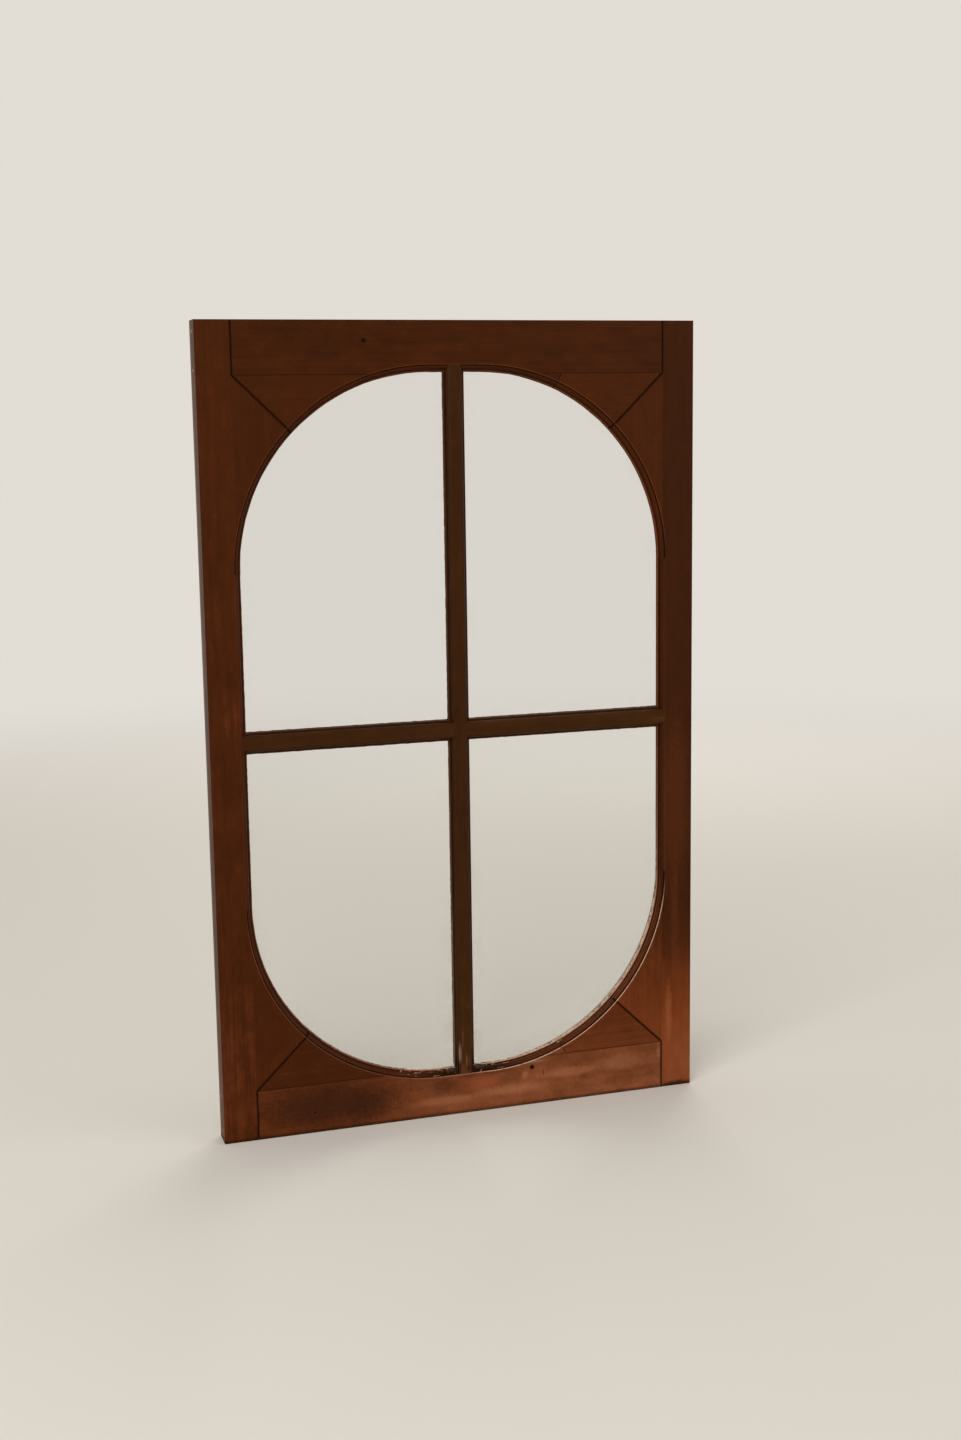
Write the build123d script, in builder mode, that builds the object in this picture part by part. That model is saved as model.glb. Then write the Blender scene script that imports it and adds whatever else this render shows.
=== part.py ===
from build123d import *
import os
from math import atan2, cos, degrees, hypot, radians, sin, tan

# A fixed timber window: a rectangular frame round an upright, round-cornered opening,
# four panes in putty, and two moulded glazing bars that cross in the middle.
# Millimetres. X runs across the window, Y from the room to the weather side, Z up.
# The origin is the middle of the bottom edge, at half the depth of the frame.

# Frame
frame_width = 674
frame_height = 1076
frame_depth = 35
stile_width = 48.5
rail_height = 68
eased_arris = 1  # the outer arrises are planed off by this much

# Opening: its straight sides are the stiles' inner edges, its crown is cut into the rails
sight_in_rail = 3
corner_radius = 253
block_seat = 3.5  # the corner blocks and rails are let this far into the stiles
right_tip_turn = 66  # degrees round the corner, from the side, to the end of its rail block
left_tip_turn = 77

# Moulding on the room side, from the sight line outwards and from the face back
fillet_width = 3
fillet_setback = 7.5
fillet_step = 1.5
ovolo_width = 4
ovolo_fullness = 0.16  # rise of the ovolo's arc as a share of its chord
upper_fillet_width = 1.5
upper_fillet_sinking = 2

# Glass and putty
glass_setback = 11
rebate_width = 9
bed_thickness = 1
glass_thickness = 3
glass_edge_gap = 1
putty_behind_sight = 0.6
putty_below_face = 1

# Glazing bars
bar_width = 28
bar_web_width = 10

# Joints
tenon_setback = 12
rail_tenon_thickness = 11
rail_tenon_height = 44
rail_tenon_drop = 8  # from the rail's inner edge to the tenon
haunch_length = 10
tenon_clearance = 0.15
wedge_length = 30
wedge_thickness = 4
bar_tenon_thickness = 10
bar_tenon_width = 8
bar_tenon_length = 18
joint_opening = 0.7  # shrinkage gap at the rail shoulders and the mitres

# Sprigs: small square headless nails that hold each pane under its putty
sprig_thickness = 1.6
sprig_length = 10
sprig_bite = 3.5
sprig_turns = (28, 62)  # degrees round each corner, from the side
sprig_from_bar = 20

# Lines that several pieces share
mid_height = frame_height / 2
frame_half = frame_width / 2
sight_x = frame_half - stile_width
seat_x = sight_x + block_seat
rail_edge = mid_height - rail_height
sight_z = rail_edge + sight_in_rail
arc_x = sight_x - corner_radius
arc_z = sight_z - corner_radius
ovolo_foot = fillet_setback - fillet_step
bar_half = bar_width / 2
web_half = bar_web_width / 2
glass_front = glass_setback + bed_thickness
glass_back = glass_front + glass_thickness
putty_back = frame_depth - putty_below_face
past = 2  # cutters run this far past what they cut


def at_depth(depth):
    """Plane parallel to the room face and this far behind it, centred on the opening."""
    origin = (0, depth - frame_depth / 2, mid_height)
    return Plane(origin=origin, x_dir=(1, 0, 0), z_dir=(0, -1, 0))


def moulding_void(ovolo, upper_fillet, sinking):
    """Section of the space in front of the moulding: x outwards from sight, y back."""
    ovolo_top = fillet_width + ovolo
    outline = [(ovolo_top, sinking)]
    if upper_fillet > 0:
        outline.append((ovolo_top + upper_fillet, sinking))
    outline += [(ovolo_top + upper_fillet, -past), (-past, -past), (-past, fillet_setback)]
    outline += [(fillet_width, fillet_setback), (fillet_width, ovolo_foot)]
    chord = hypot(ovolo, ovolo_foot - sinking)
    with BuildSketch() as section:
        with BuildLine():
            Polyline(*outline)
            SagittaArc(outline[-1], outline[0], -ovolo_fullness * chord)
        make_face()
    return section.sketch


def bar_section():
    """Section of a glazing bar: x across the bar, y back from its room face."""
    flat_half = bar_half - fillet_width - ovolo_width
    ovolo_end = (bar_half - fillet_width, ovolo_foot)
    chord = hypot(ovolo_width, ovolo_foot)
    with BuildSketch() as section:
        with BuildLine():
            Line((0, 0), (flat_half, 0))
            SagittaArc((flat_half, 0), ovolo_end, -ovolo_fullness * chord)
            Polyline(
                ovolo_end,
                (bar_half - fillet_width, fillet_setback),
                (bar_half, fillet_setback),
                (bar_half, glass_setback),
                (web_half, glass_setback),
                (web_half, frame_depth),
                (0, frame_depth),
            )
            mirror(about=Plane.YZ)
        make_face()
    return section.sketch


def quarter_light(inset, bar_edge):
    """Bottom right quarter of the opening, this far outside sight and off the bars' middle."""
    width = sight_x + inset
    height = sight_z + inset
    with BuildSketch() as outline:
        RectangleRounded(2 * width, 2 * height, corner_radius + inset)
        with Locations((bar_edge, -bar_edge)):
            Rectangle(width, height, align=(Align.MIN, Align.MAX), mode=Mode.INTERSECT)
    return outline.sketch


# The space that the opening, its rebate and its moulding take out of the frame
with BuildPart() as moulding_cut:
    level = Plane(
        origin=(arc_x, -frame_depth / 2, mid_height - arc_z), x_dir=(1, 0, 0), z_dir=(0, 0, 1)
    )
    crown = Plane(
        origin=(arc_x, -frame_depth / 2, mid_height - arc_z), x_dir=(0, 0, -1), z_dir=(1, 0, 0)
    )
    with BuildSketch(level):
        with Locations((corner_radius, 0)):
            add(moulding_void(ovolo_width, upper_fillet_width, upper_fillet_sinking))
    revolve(axis=Axis(level.origin, (0, 1, 0)), revolution_arc=90)
    with BuildSketch(crown):
        with Locations((corner_radius, 0)):
            add(moulding_void(ovolo_width, upper_fillet_width, upper_fillet_sinking))
    extrude(amount=-arc_x)
    # the straight sides have a wider ovolo that runs up to the face
    with BuildSketch(level):
        with Locations((corner_radius, 0)):
            add(moulding_void(ovolo_width + upper_fillet_width, 0, 0))
    extrude(amount=arc_z)
    mirror(about=Plane.YZ)
    mirror(about=Plane.XY.offset(mid_height))

with BuildPart() as opening_cut:
    with BuildSketch(at_depth(-past)):
        RectangleRounded(2 * sight_x, 2 * sight_z, corner_radius)
    extrude(amount=-(frame_depth + 2 * past))
    with BuildSketch(at_depth(glass_setback)):
        RectangleRounded(
            2 * (sight_x + rebate_width), 2 * (sight_z + rebate_width), corner_radius + rebate_width
        )
    extrude(amount=-(frame_depth - glass_setback + past))
    add(moulding_cut.part)

# Sprigs lie on the glass, driven into the rebate along each straight edge and each curve
sprig_depth = glass_back + sprig_thickness / 2
sprig_reach = rebate_width + sprig_bite
web_reach = web_half - sprig_bite
curve_reach = corner_radius + sprig_reach
with BuildPart() as glazing_sprigs:
    seat = at_depth(sprig_depth).location
    spots = [
        Location((sight_x + sprig_reach, -arc_z / 2, 0)),
        Location((bar_half + sprig_from_bar, -sight_z - sprig_reach, 0), (0, 0, -90)),
        Location((web_reach, -arc_z, 0), (0, 0, 180)),
        Location((sight_x / 2, -web_reach, 0), (0, 0, 90)),
    ]
    for turn in sprig_turns:
        across = arc_x + curve_reach * cos(radians(turn))
        down = arc_z + curve_reach * sin(radians(turn))
        spots.append(Location((across, -down, 0), (0, 0, -turn)))
    with Locations(*[seat * spot for spot in spots]):
        Box(
            sprig_length,
            sprig_thickness,
            sprig_thickness,
            align=(Align.MAX, Align.CENTER, Align.CENTER),
        )
    mirror(about=Plane.YZ)
    mirror(about=Plane.XY.offset(mid_height))

# Joint between a rail and a stile: a through tenon with a haunch, wedged from outside
tenon_top = rail_edge + rail_tenon_drop
tenon_foot = tenon_top + rail_tenon_height


def rail_tenon(clearance):
    """Bottom right tenon of a rail with its haunch, or its mortise when there is clearance."""
    reach = past if clearance else 0
    with BuildPart() as tenon:
        with BuildSketch(at_depth(tenon_setback - clearance)):
            with Locations((seat_x - past, -tenon_top + clearance)):
                Rectangle(
                    frame_half - seat_x + past + reach,
                    rail_tenon_height + 2 * clearance,
                    align=(Align.MIN, Align.MAX),
                )
            with Locations((seat_x - past, -tenon_top)):
                Rectangle(
                    haunch_length + past + clearance,
                    mid_height - tenon_top + reach,
                    align=(Align.MIN, Align.MAX),
                )
        extrude(amount=-(rail_tenon_thickness + 2 * clearance))
    return tenon.part


with BuildPart() as corner_wedges:
    with BuildSketch(at_depth(tenon_setback)):
        for edge, way in ((-tenon_top, 1), (-tenon_foot, -1)):
            with BuildLine():
                Polyline(
                    (frame_half - wedge_length, edge),
                    (frame_half, edge),
                    (frame_half, edge + way * wedge_thickness),
                    close=True,
                )
            make_face()
    extrude(amount=-rail_tenon_thickness)

with BuildPart() as tenon_wedges:
    add(corner_wedges.part)
    mirror(about=Plane.YZ)
    mirror(about=Plane.XY.offset(mid_height))

# Mortises for the glazing bars: blind in the frame, right through the upright bar's web
with BuildPart() as bar_mortises:
    for end in (1, -1):
        with BuildSketch(at_depth(tenon_setback)):
            with Locations((0, end * (sight_z + rebate_width))):
                Rectangle(bar_tenon_width, 2 * bar_tenon_length)
            with Locations((end * (sight_x + rebate_width), 0)):
                Rectangle(2 * bar_tenon_length, bar_tenon_width)
        extrude(amount=-bar_tenon_thickness)

def tip_foot(turn):
    """How far from the opening's middle a rail block that ends at this turn leaves the rail."""
    return arc_x + (rail_edge - arc_z) / tan(radians(turn))


with BuildPart() as right_stile:
    with BuildSketch(at_depth(0)):
        with Locations((frame_half, 0)):
            Rectangle(frame_half - seat_x, frame_height, align=(Align.MAX, Align.CENTER))
            Rectangle(stile_width, 2 * arc_z, align=(Align.MAX, Align.CENTER))
    extrude(amount=-frame_depth)
    outer_arrises = right_stile.edges().filter_by(Axis.Z).group_by(Axis.X)[-1]
    ends = right_stile.edges().filter_by(Axis.X).group_by(Axis.Z)
    end_arrises = ends[0] + ends[-1]
    chamfer(outer_arrises + end_arrises, eased_arris)
    add(opening_cut.part, mode=Mode.SUBTRACT)
    add(rail_tenon(tenon_clearance), mode=Mode.SUBTRACT)
    add(mirror(rail_tenon(tenon_clearance), Plane.XY.offset(mid_height)), mode=Mode.SUBTRACT)
    add(tenon_wedges.part, mode=Mode.SUBTRACT)
    add(bar_mortises.part, mode=Mode.SUBTRACT)
    add(glazing_sprigs.part, mode=Mode.SUBTRACT)

with BuildPart() as bottom_rail:
    with BuildSketch(at_depth(0)):
        with Locations((0, -mid_height)):
            Rectangle(
                2 * (seat_x - joint_opening), rail_height, align=(Align.CENTER, Align.MIN)
            )
        # between the corner blocks the rail itself stands up to the curve
        with BuildLine():
            Polyline(
                (arc_x, -arc_z),
                (tip_foot(right_tip_turn), -rail_edge),
                (-tip_foot(left_tip_turn), -rail_edge),
                (-arc_x, -arc_z),
                close=True,
            )
        make_face()
    extrude(amount=-frame_depth)
    chamfer(bottom_rail.edges().filter_by(Axis.X).group_by(Axis.Z)[0], eased_arris)
    add(opening_cut.part, mode=Mode.SUBTRACT)
    add(bar_mortises.part, mode=Mode.SUBTRACT)
    add(glazing_sprigs.part, mode=Mode.SUBTRACT)
    add(rail_tenon(0))
    add(mirror(rail_tenon(0), Plane.YZ))

# Corner blocks: glued to the inner edges of stile and rail, mitred towards the curve's centre
mitre_angle = degrees(atan2(rail_edge - arc_z, seat_x - arc_x))
mitre_length = hypot(rail_edge - arc_z, seat_x - arc_x)
with BuildPart() as mitre_cut:
    with BuildSketch(at_depth(-past)):
        with Locations((arc_x, -arc_z)):
            Rectangle(
                2 * mitre_length,
                joint_opening,
                rotation=-mitre_angle,
                align=(Align.CENTER, Align.CENTER),
            )
    extrude(amount=-(frame_depth + 2 * past))

arc_centre = (arc_x, -arc_z)
inner_corner = (seat_x, -rail_edge)
with BuildPart() as stile_block:
    with BuildSketch(at_depth(0)):
        with BuildLine():
            Polyline(arc_centre, (seat_x, -arc_z), inner_corner, close=True)
        make_face()
    extrude(amount=-frame_depth)
    add(opening_cut.part, mode=Mode.SUBTRACT)
    add(mitre_cut.part, mode=Mode.SUBTRACT)
    add(glazing_sprigs.part, mode=Mode.SUBTRACT)


def rail_block(turn):
    """Corner block of the bottom right rail, its tip cut square to the curve at this turn."""
    with BuildPart() as block:
        with BuildSketch(at_depth(0)):
            with BuildLine():
                Polyline(arc_centre, inner_corner, (tip_foot(turn), -rail_edge), close=True)
            make_face()
        extrude(amount=-frame_depth)
        add(opening_cut.part, mode=Mode.SUBTRACT)
        add(mitre_cut.part, mode=Mode.SUBTRACT)
        add(glazing_sprigs.part, mode=Mode.SUBTRACT)
    return block.part


# Glazing bars: each end is scribed over the moulding that it meets and fills its mortise
with BuildPart() as vertical_bar:
    with BuildSketch(Plane(origin=(0, -frame_depth / 2, mid_height), z_dir=(0, 0, 1))):
        add(bar_section())
    extrude(amount=sight_z + rebate_width + bar_tenon_length, both=True)
    add(bottom_rail.part, mode=Mode.SUBTRACT)
    add(mirror(bottom_rail.part, Plane.XY.offset(mid_height)), mode=Mode.SUBTRACT)
    with BuildSketch(at_depth(tenon_setback)):
        Rectangle(bar_width, bar_tenon_width)
    extrude(amount=-bar_tenon_thickness, mode=Mode.SUBTRACT)
    add(glazing_sprigs.part, mode=Mode.SUBTRACT)

with BuildPart() as right_cross_bar:
    with BuildSketch(
        Plane(origin=(0, -frame_depth / 2, mid_height), x_dir=(0, 0, -1), z_dir=(1, 0, 0))
    ):
        add(bar_section())
    extrude(amount=sight_x + rebate_width + bar_tenon_length)
    add(vertical_bar.part, mode=Mode.SUBTRACT)
    add(right_stile.part, mode=Mode.SUBTRACT)
    add(glazing_sprigs.part, mode=Mode.SUBTRACT)

# One pane, with the putty that beds it, fills round its edge and slopes back to the frame
with BuildPart() as pane:
    with BuildSketch(at_depth(glass_front)):
        add(quarter_light(rebate_width - glass_edge_gap, web_half + glass_edge_gap))
    extrude(amount=-glass_thickness)

with BuildPart() as frame_slope:
    for depth, inset in ((glass_back, putty_behind_sight), (putty_back, rebate_width)):
        with BuildSketch(at_depth(depth)):
            RectangleRounded(2 * (sight_x + inset), 2 * (sight_z + inset), corner_radius + inset)
    loft(ruled=True)

bar_slope_edge = bar_half - putty_behind_sight
with BuildPart() as putty_void:
    for depth, edge in ((glass_back, bar_slope_edge), (putty_back, web_half)):
        with BuildSketch(at_depth(depth)):
            with Locations((edge, -edge)):
                Rectangle(frame_half, mid_height, align=(Align.MIN, Align.MAX))
    loft(ruled=True)
    add(frame_slope.part, mode=Mode.INTERSECT)

with BuildPart() as putty:
    with BuildSketch(at_depth(glass_setback)):
        add(quarter_light(rebate_width, web_half))
    extrude(amount=-(putty_back - glass_setback))
    with BuildSketch(at_depth(glass_setback)):
        add(quarter_light(putty_behind_sight, bar_slope_edge))
    extrude(amount=-(putty_back - glass_setback), mode=Mode.SUBTRACT)
    add(putty_void.part, mode=Mode.SUBTRACT)
    add(pane.part, mode=Mode.SUBTRACT)
    add(glazing_sprigs.part, mode=Mode.SUBTRACT)

upright = Plane.YZ
level_middle = Plane.XY.offset(mid_height)
pieces = {
    "right_stile": right_stile.part,
    "left_stile": mirror(right_stile.part, upright),
    "bottom_rail": bottom_rail.part,
    "top_rail": mirror(bottom_rail.part, level_middle),
    "vertical_bar": vertical_bar.part,
    "right_cross_bar": right_cross_bar.part,
    "left_cross_bar": mirror(right_cross_bar.part, upright),
    "tenon_wedges": tenon_wedges.part,
    "glazing_sprigs": glazing_sprigs.part,
}
corner_pieces = {
    "stile_block": (stile_block.part, stile_block.part),
    "rail_block": (rail_block(right_tip_turn), rail_block(left_tip_turn)),
    "pane": (pane.part, pane.part),
    "putty": (putty.part, putty.part),
}
for kind, (right_piece, left_piece) in corner_pieces.items():
    left_mirrored = mirror(left_piece, upright)
    pieces[f"{kind}_bottom_right"] = right_piece
    pieces[f"{kind}_bottom_left"] = left_mirrored
    pieces[f"{kind}_top_right"] = mirror(right_piece, level_middle)
    pieces[f"{kind}_top_left"] = mirror(left_mirrored, level_middle)

os.makedirs("parts", exist_ok=True)
for name, piece in pieces.items():
    piece.label = name
    export_step(piece, f"parts/{name}.step")
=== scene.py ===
"""Finishes, small worn details and studio for a fixed timber window with an upright oval light."""

import logging
import math
from dataclasses import dataclass
from enum import Enum
from typing import Callable, Union

import bmesh
import bpy
from mathutils import Matrix, Vector


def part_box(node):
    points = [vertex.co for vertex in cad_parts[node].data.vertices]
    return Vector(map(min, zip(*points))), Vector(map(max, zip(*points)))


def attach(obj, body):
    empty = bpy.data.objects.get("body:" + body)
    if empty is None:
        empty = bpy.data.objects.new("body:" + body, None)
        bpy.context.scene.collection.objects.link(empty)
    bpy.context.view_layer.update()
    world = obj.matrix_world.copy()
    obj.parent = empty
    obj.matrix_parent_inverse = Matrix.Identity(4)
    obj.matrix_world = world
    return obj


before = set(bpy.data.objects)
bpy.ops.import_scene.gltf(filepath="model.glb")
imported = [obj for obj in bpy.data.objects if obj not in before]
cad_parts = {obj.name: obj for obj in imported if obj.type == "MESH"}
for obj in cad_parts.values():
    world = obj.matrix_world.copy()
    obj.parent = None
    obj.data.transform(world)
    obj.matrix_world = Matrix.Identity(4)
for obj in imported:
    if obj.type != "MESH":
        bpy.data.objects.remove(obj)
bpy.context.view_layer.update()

CORNERS = ("bottom_right", "bottom_left", "top_right", "top_left")
ROOT = "root"
TIMBER_SLOT = "varnished_wood"
PUTTY_SLOT = "putty"
MM = 0.001
PER_METRE = 1000
QUARTER_TURN = math.pi / 2

log = logging.getLogger("window")

Colour = tuple[float, float, float, float]
Span = tuple[float, float]


def srgb(red: int, green: int, blue: int) -> Colour:
    """Turns a colour given as 8-bit display values into the linear colour that a shader takes.

    Args:
        red: Red, 0 to 255.
        green: Green, 0 to 255.
        blue: Blue, 0 to 255.

    Returns:
        Linear red, green and blue with an alpha of 1.
    """
    linear = []
    for value in (red, green, blue):
        share = value / 255
        linear.append(share / 12.92 if share <= 0.04045 else ((share + 0.055) / 1.055) ** 2.4)
    return (*linear, 1.0)


class Grain(Enum):
    """Which way the fibres of a piece of timber run."""

    UPRIGHT = "upright"
    LEVEL = "level"


class Edge(Enum):
    """Which edge the moulding on a piece follows."""

    OPENING = "opening"
    UPRIGHT_BAR = "upright bar"
    CROSS_BAR = "cross bar"


class Signal:
    """A value or colour on its way through a material, for use in Python expressions."""

    def __init__(self, bench: "ShaderBench", socket: bpy.types.NodeSocket) -> None:
        """Keeps the socket and the bench whose expressions it takes part in."""
        self.bench = bench
        self.socket = socket

    def __add__(self, other: "Number") -> "Signal":
        """Gives self + other."""
        return self.bench.maths("ADD", self, other)

    def __radd__(self, other: "Number") -> "Signal":
        """Gives other + self."""
        return self.bench.maths("ADD", other, self)

    def __sub__(self, other: "Number") -> "Signal":
        """Gives self - other."""
        return self.bench.maths("SUBTRACT", self, other)

    def __rsub__(self, other: "Number") -> "Signal":
        """Gives other - self."""
        return self.bench.maths("SUBTRACT", other, self)

    def __mul__(self, other: "Number") -> "Signal":
        """Gives self * other."""
        return self.bench.maths("MULTIPLY", self, other)

    def __rmul__(self, other: "Number") -> "Signal":
        """Gives other * self."""
        return self.bench.maths("MULTIPLY", other, self)

    def __pow__(self, other: "Number") -> "Signal":
        """Gives self to the power of other."""
        return self.bench.maths("POWER", self, other)

    def __abs__(self) -> "Signal":
        """Gives the size of self without its sign."""
        return self.bench.maths("ABSOLUTE", self)

    def at_least(self, other: "Number") -> "Signal":
        """Gives the larger of the two."""
        return self.bench.maths("MAXIMUM", self, other)

    def at_most(self, other: "Number") -> "Signal":
        """Gives the smaller of the two."""
        return self.bench.maths("MINIMUM", self, other)


Number = Union[Signal, float, int]
Blobs = Union[float, tuple[float, float, float]]


class ShaderBench:
    """The node tree of one material or world, written as expressions and calls."""

    def __init__(self, owner: bpy.types.Material | bpy.types.World) -> None:
        """Starts on the emptied tree of a material or world.

        Args:
            owner: The material or world.
        """
        self.owner = owner
        owner.use_nodes = True
        self.tree = owner.node_tree
        self.tree.nodes.clear()

    @classmethod
    def for_material(cls, name: str) -> "ShaderBench":
        """Starts on a new material with this name."""
        return cls(bpy.data.materials.new(name))

    def node(
        self, kind: str, settings: dict | None = None, sockets: dict | None = None, output: int | str = 0
    ) -> Signal:
        """Adds any node.

        Args:
            kind: The node's type, as Blender names it.
            settings: Properties of the node, set first. A ramp's "stops" are pairs of place and colour.
            sockets: Values or signals for the input sockets, by name or number.
            output: The output socket wanted, by name or number.

        Returns:
            The output as a signal.
        """
        made = self.tree.nodes.new(kind)
        for key, value in (settings or {}).items():
            if key == "stops":
                self._lay_stops(made.color_ramp, value)
            else:
                setattr(made, key, value)
        for key, value in (sockets or {}).items():
            if isinstance(value, Signal):
                self.tree.links.new(value.socket, made.inputs[key])
            else:
                made.inputs[key].default_value = value
        return Signal(self, made.outputs[output])

    @staticmethod
    def _lay_stops(ramp: bpy.types.ColorRamp, stops: list[tuple[float, Colour]]) -> None:
        """Gives a ramp its stops.

        Args:
            ramp: The ramp.
            stops: Pairs of place and colour, in rising order.
        """
        while len(ramp.elements) < len(stops):
            ramp.elements.new(1)
        for element, (place, colour) in zip(ramp.elements, stops):
            element.position = place
            element.color = colour

    def other_outputs(self, signal: Signal, keys: tuple) -> tuple[Signal, ...]:
        """Gives more outputs of the node that a signal comes from, by name or number."""
        return tuple(Signal(self, signal.socket.node.outputs[key]) for key in keys)

    def maths(self, operation: str, *values: Number) -> Signal:
        """Adds a Math node.

        Args:
            operation: The operation, as Blender names it.
            values: One to three numbers or signals.

        Returns:
            The result.
        """
        return self.node("ShaderNodeMath", {"operation": operation}, dict(enumerate(values)))

    def length(self, first: Signal, second: Signal) -> Signal:
        """Gives the length of the vector with these two parts."""
        joined = self.node("ShaderNodeCombineXYZ", None, {0: first, 1: second})
        return self.node("ShaderNodeVectorMath", {"operation": "LENGTH"}, {0: joined}, "Value")

    def blend(self, share: Number, first: object, second: object) -> Signal:
        """Mixes two colours, from all of the first at 0 to all of the second at 1."""
        return self.node("ShaderNodeMix", {"data_type": "RGBA"}, {0: share, 6: first, 7: second}, 2)

    def ramp(self, value: Signal, stops: list[tuple[float, Colour]]) -> Signal:
        """Runs a value through a colour ramp."""
        return self.node("ShaderNodeValToRGB", {"stops": stops}, {0: value})

    def rise(self, value: Signal, start: float, end: float) -> Signal:
        """Turns a value into a share that rises softly between two places.

        Args:
            value: The value.
            start: Where the share is still 0. It may lie above the end.
            end: Where the share is 1.

        Returns:
            The share, 0 to 1.
        """
        sockets = {"Value": value, "From Min": start, "From Max": end}
        if start > end:
            sockets = {"Value": value, "From Min": end, "From Max": start, "To Min": 1.0, "To Max": 0.0}
        return self.node("ShaderNodeMapRange", {"interpolation_type": "SMOOTHSTEP"}, sockets)

    def near(self, value: Signal, centre: float, reach: float) -> Signal:
        """Gives 1 where the value is at the centre, falling softly to 0 at the reach."""
        return self.rise(abs(value - centre), reach, 0)

    def spot(self, across: Signal, up: Signal, centre: tuple[float, float], reach: float) -> Signal:
        """Gives 1 at a point of the plane of two values, falling softly to 0 at the reach."""
        return self.rise(self.length(across - centre[0], up - centre[1]), reach, 0)

    def place(self) -> Signal:
        """Gives the place on the object, in metres."""
        return self.node("ShaderNodeTexCoord", None, None, "Object")

    def parts(self, place: Signal) -> tuple[Signal, ...]:
        """Splits a place into its parts.

        Args:
            place: The place, in metres.

        Returns:
            Its three parts, in millimetres.
        """
        sockets = {0: place, "Scale": float(PER_METRE)}
        scaled = self.node("ShaderNodeVectorMath", {"operation": "SCALE"}, sockets)
        return self.other_outputs(self.node("ShaderNodeSeparateXYZ", None, {0: scaled}), (0, 1, 2))

    def stretched(self, place: Signal, blobs: Blobs, shift: float = 0) -> Signal:
        """Scales a place by blobs per metre, on all axes or on each, and shifts it along all three."""
        scale = blobs if isinstance(blobs, tuple) else (blobs,) * 3
        return self.node("ShaderNodeMapping", None, {0: place, "Location": (shift,) * 3, "Scale": scale})

    def noise(
        self, place: Signal, blobs: Blobs, shift: float = 0, detail: float = 2, roughness: float = 0.5
    ) -> Signal:
        """Makes cloudy noise.

        Args:
            place: Where it is worked out, in metres.
            blobs: Blobs per metre, on all axes or on each.
            shift: Moves the pattern along all three axes.
            detail: How many finer layers lie over the first.
            roughness: How much those layers show.

        Returns:
            The noise, 0 to 1.
        """
        sockets = {"Scale": 1.0, "Detail": detail, "Roughness": roughness}
        sockets["Vector"] = self.stretched(place, blobs, shift)
        return self.node("ShaderNodeTexNoise", None, sockets)

    def bump(self, height: Signal, strength: float, depth: float) -> Signal:
        """Turns a height into a normal; the depth is in millimetres."""
        sockets = {"Strength": strength, "Distance": depth * MM, "Height": height}
        return self.node("ShaderNodeBump", None, sockets, "Normal")

    def principled(self, **sockets: object) -> Signal:
        """Adds a Principled shader; underscores in the names stand for spaces."""
        named = {key.replace("_", " "): value for key, value in sockets.items()}
        return self.node("ShaderNodeBsdfPrincipled", None, named)

    def surface(self, shader: Signal) -> bpy.types.Material | bpy.types.World:
        """Ends the tree with a shader.

        Args:
            shader: What the material or world shows.

        Returns:
            The material or world.
        """
        kind = "World" if isinstance(self.owner, bpy.types.World) else "Material"
        output = self.tree.nodes.new(f"ShaderNodeOutput{kind}")
        self.tree.links.new(shader.socket, output.inputs["Surface"])
        return self.owner


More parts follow.
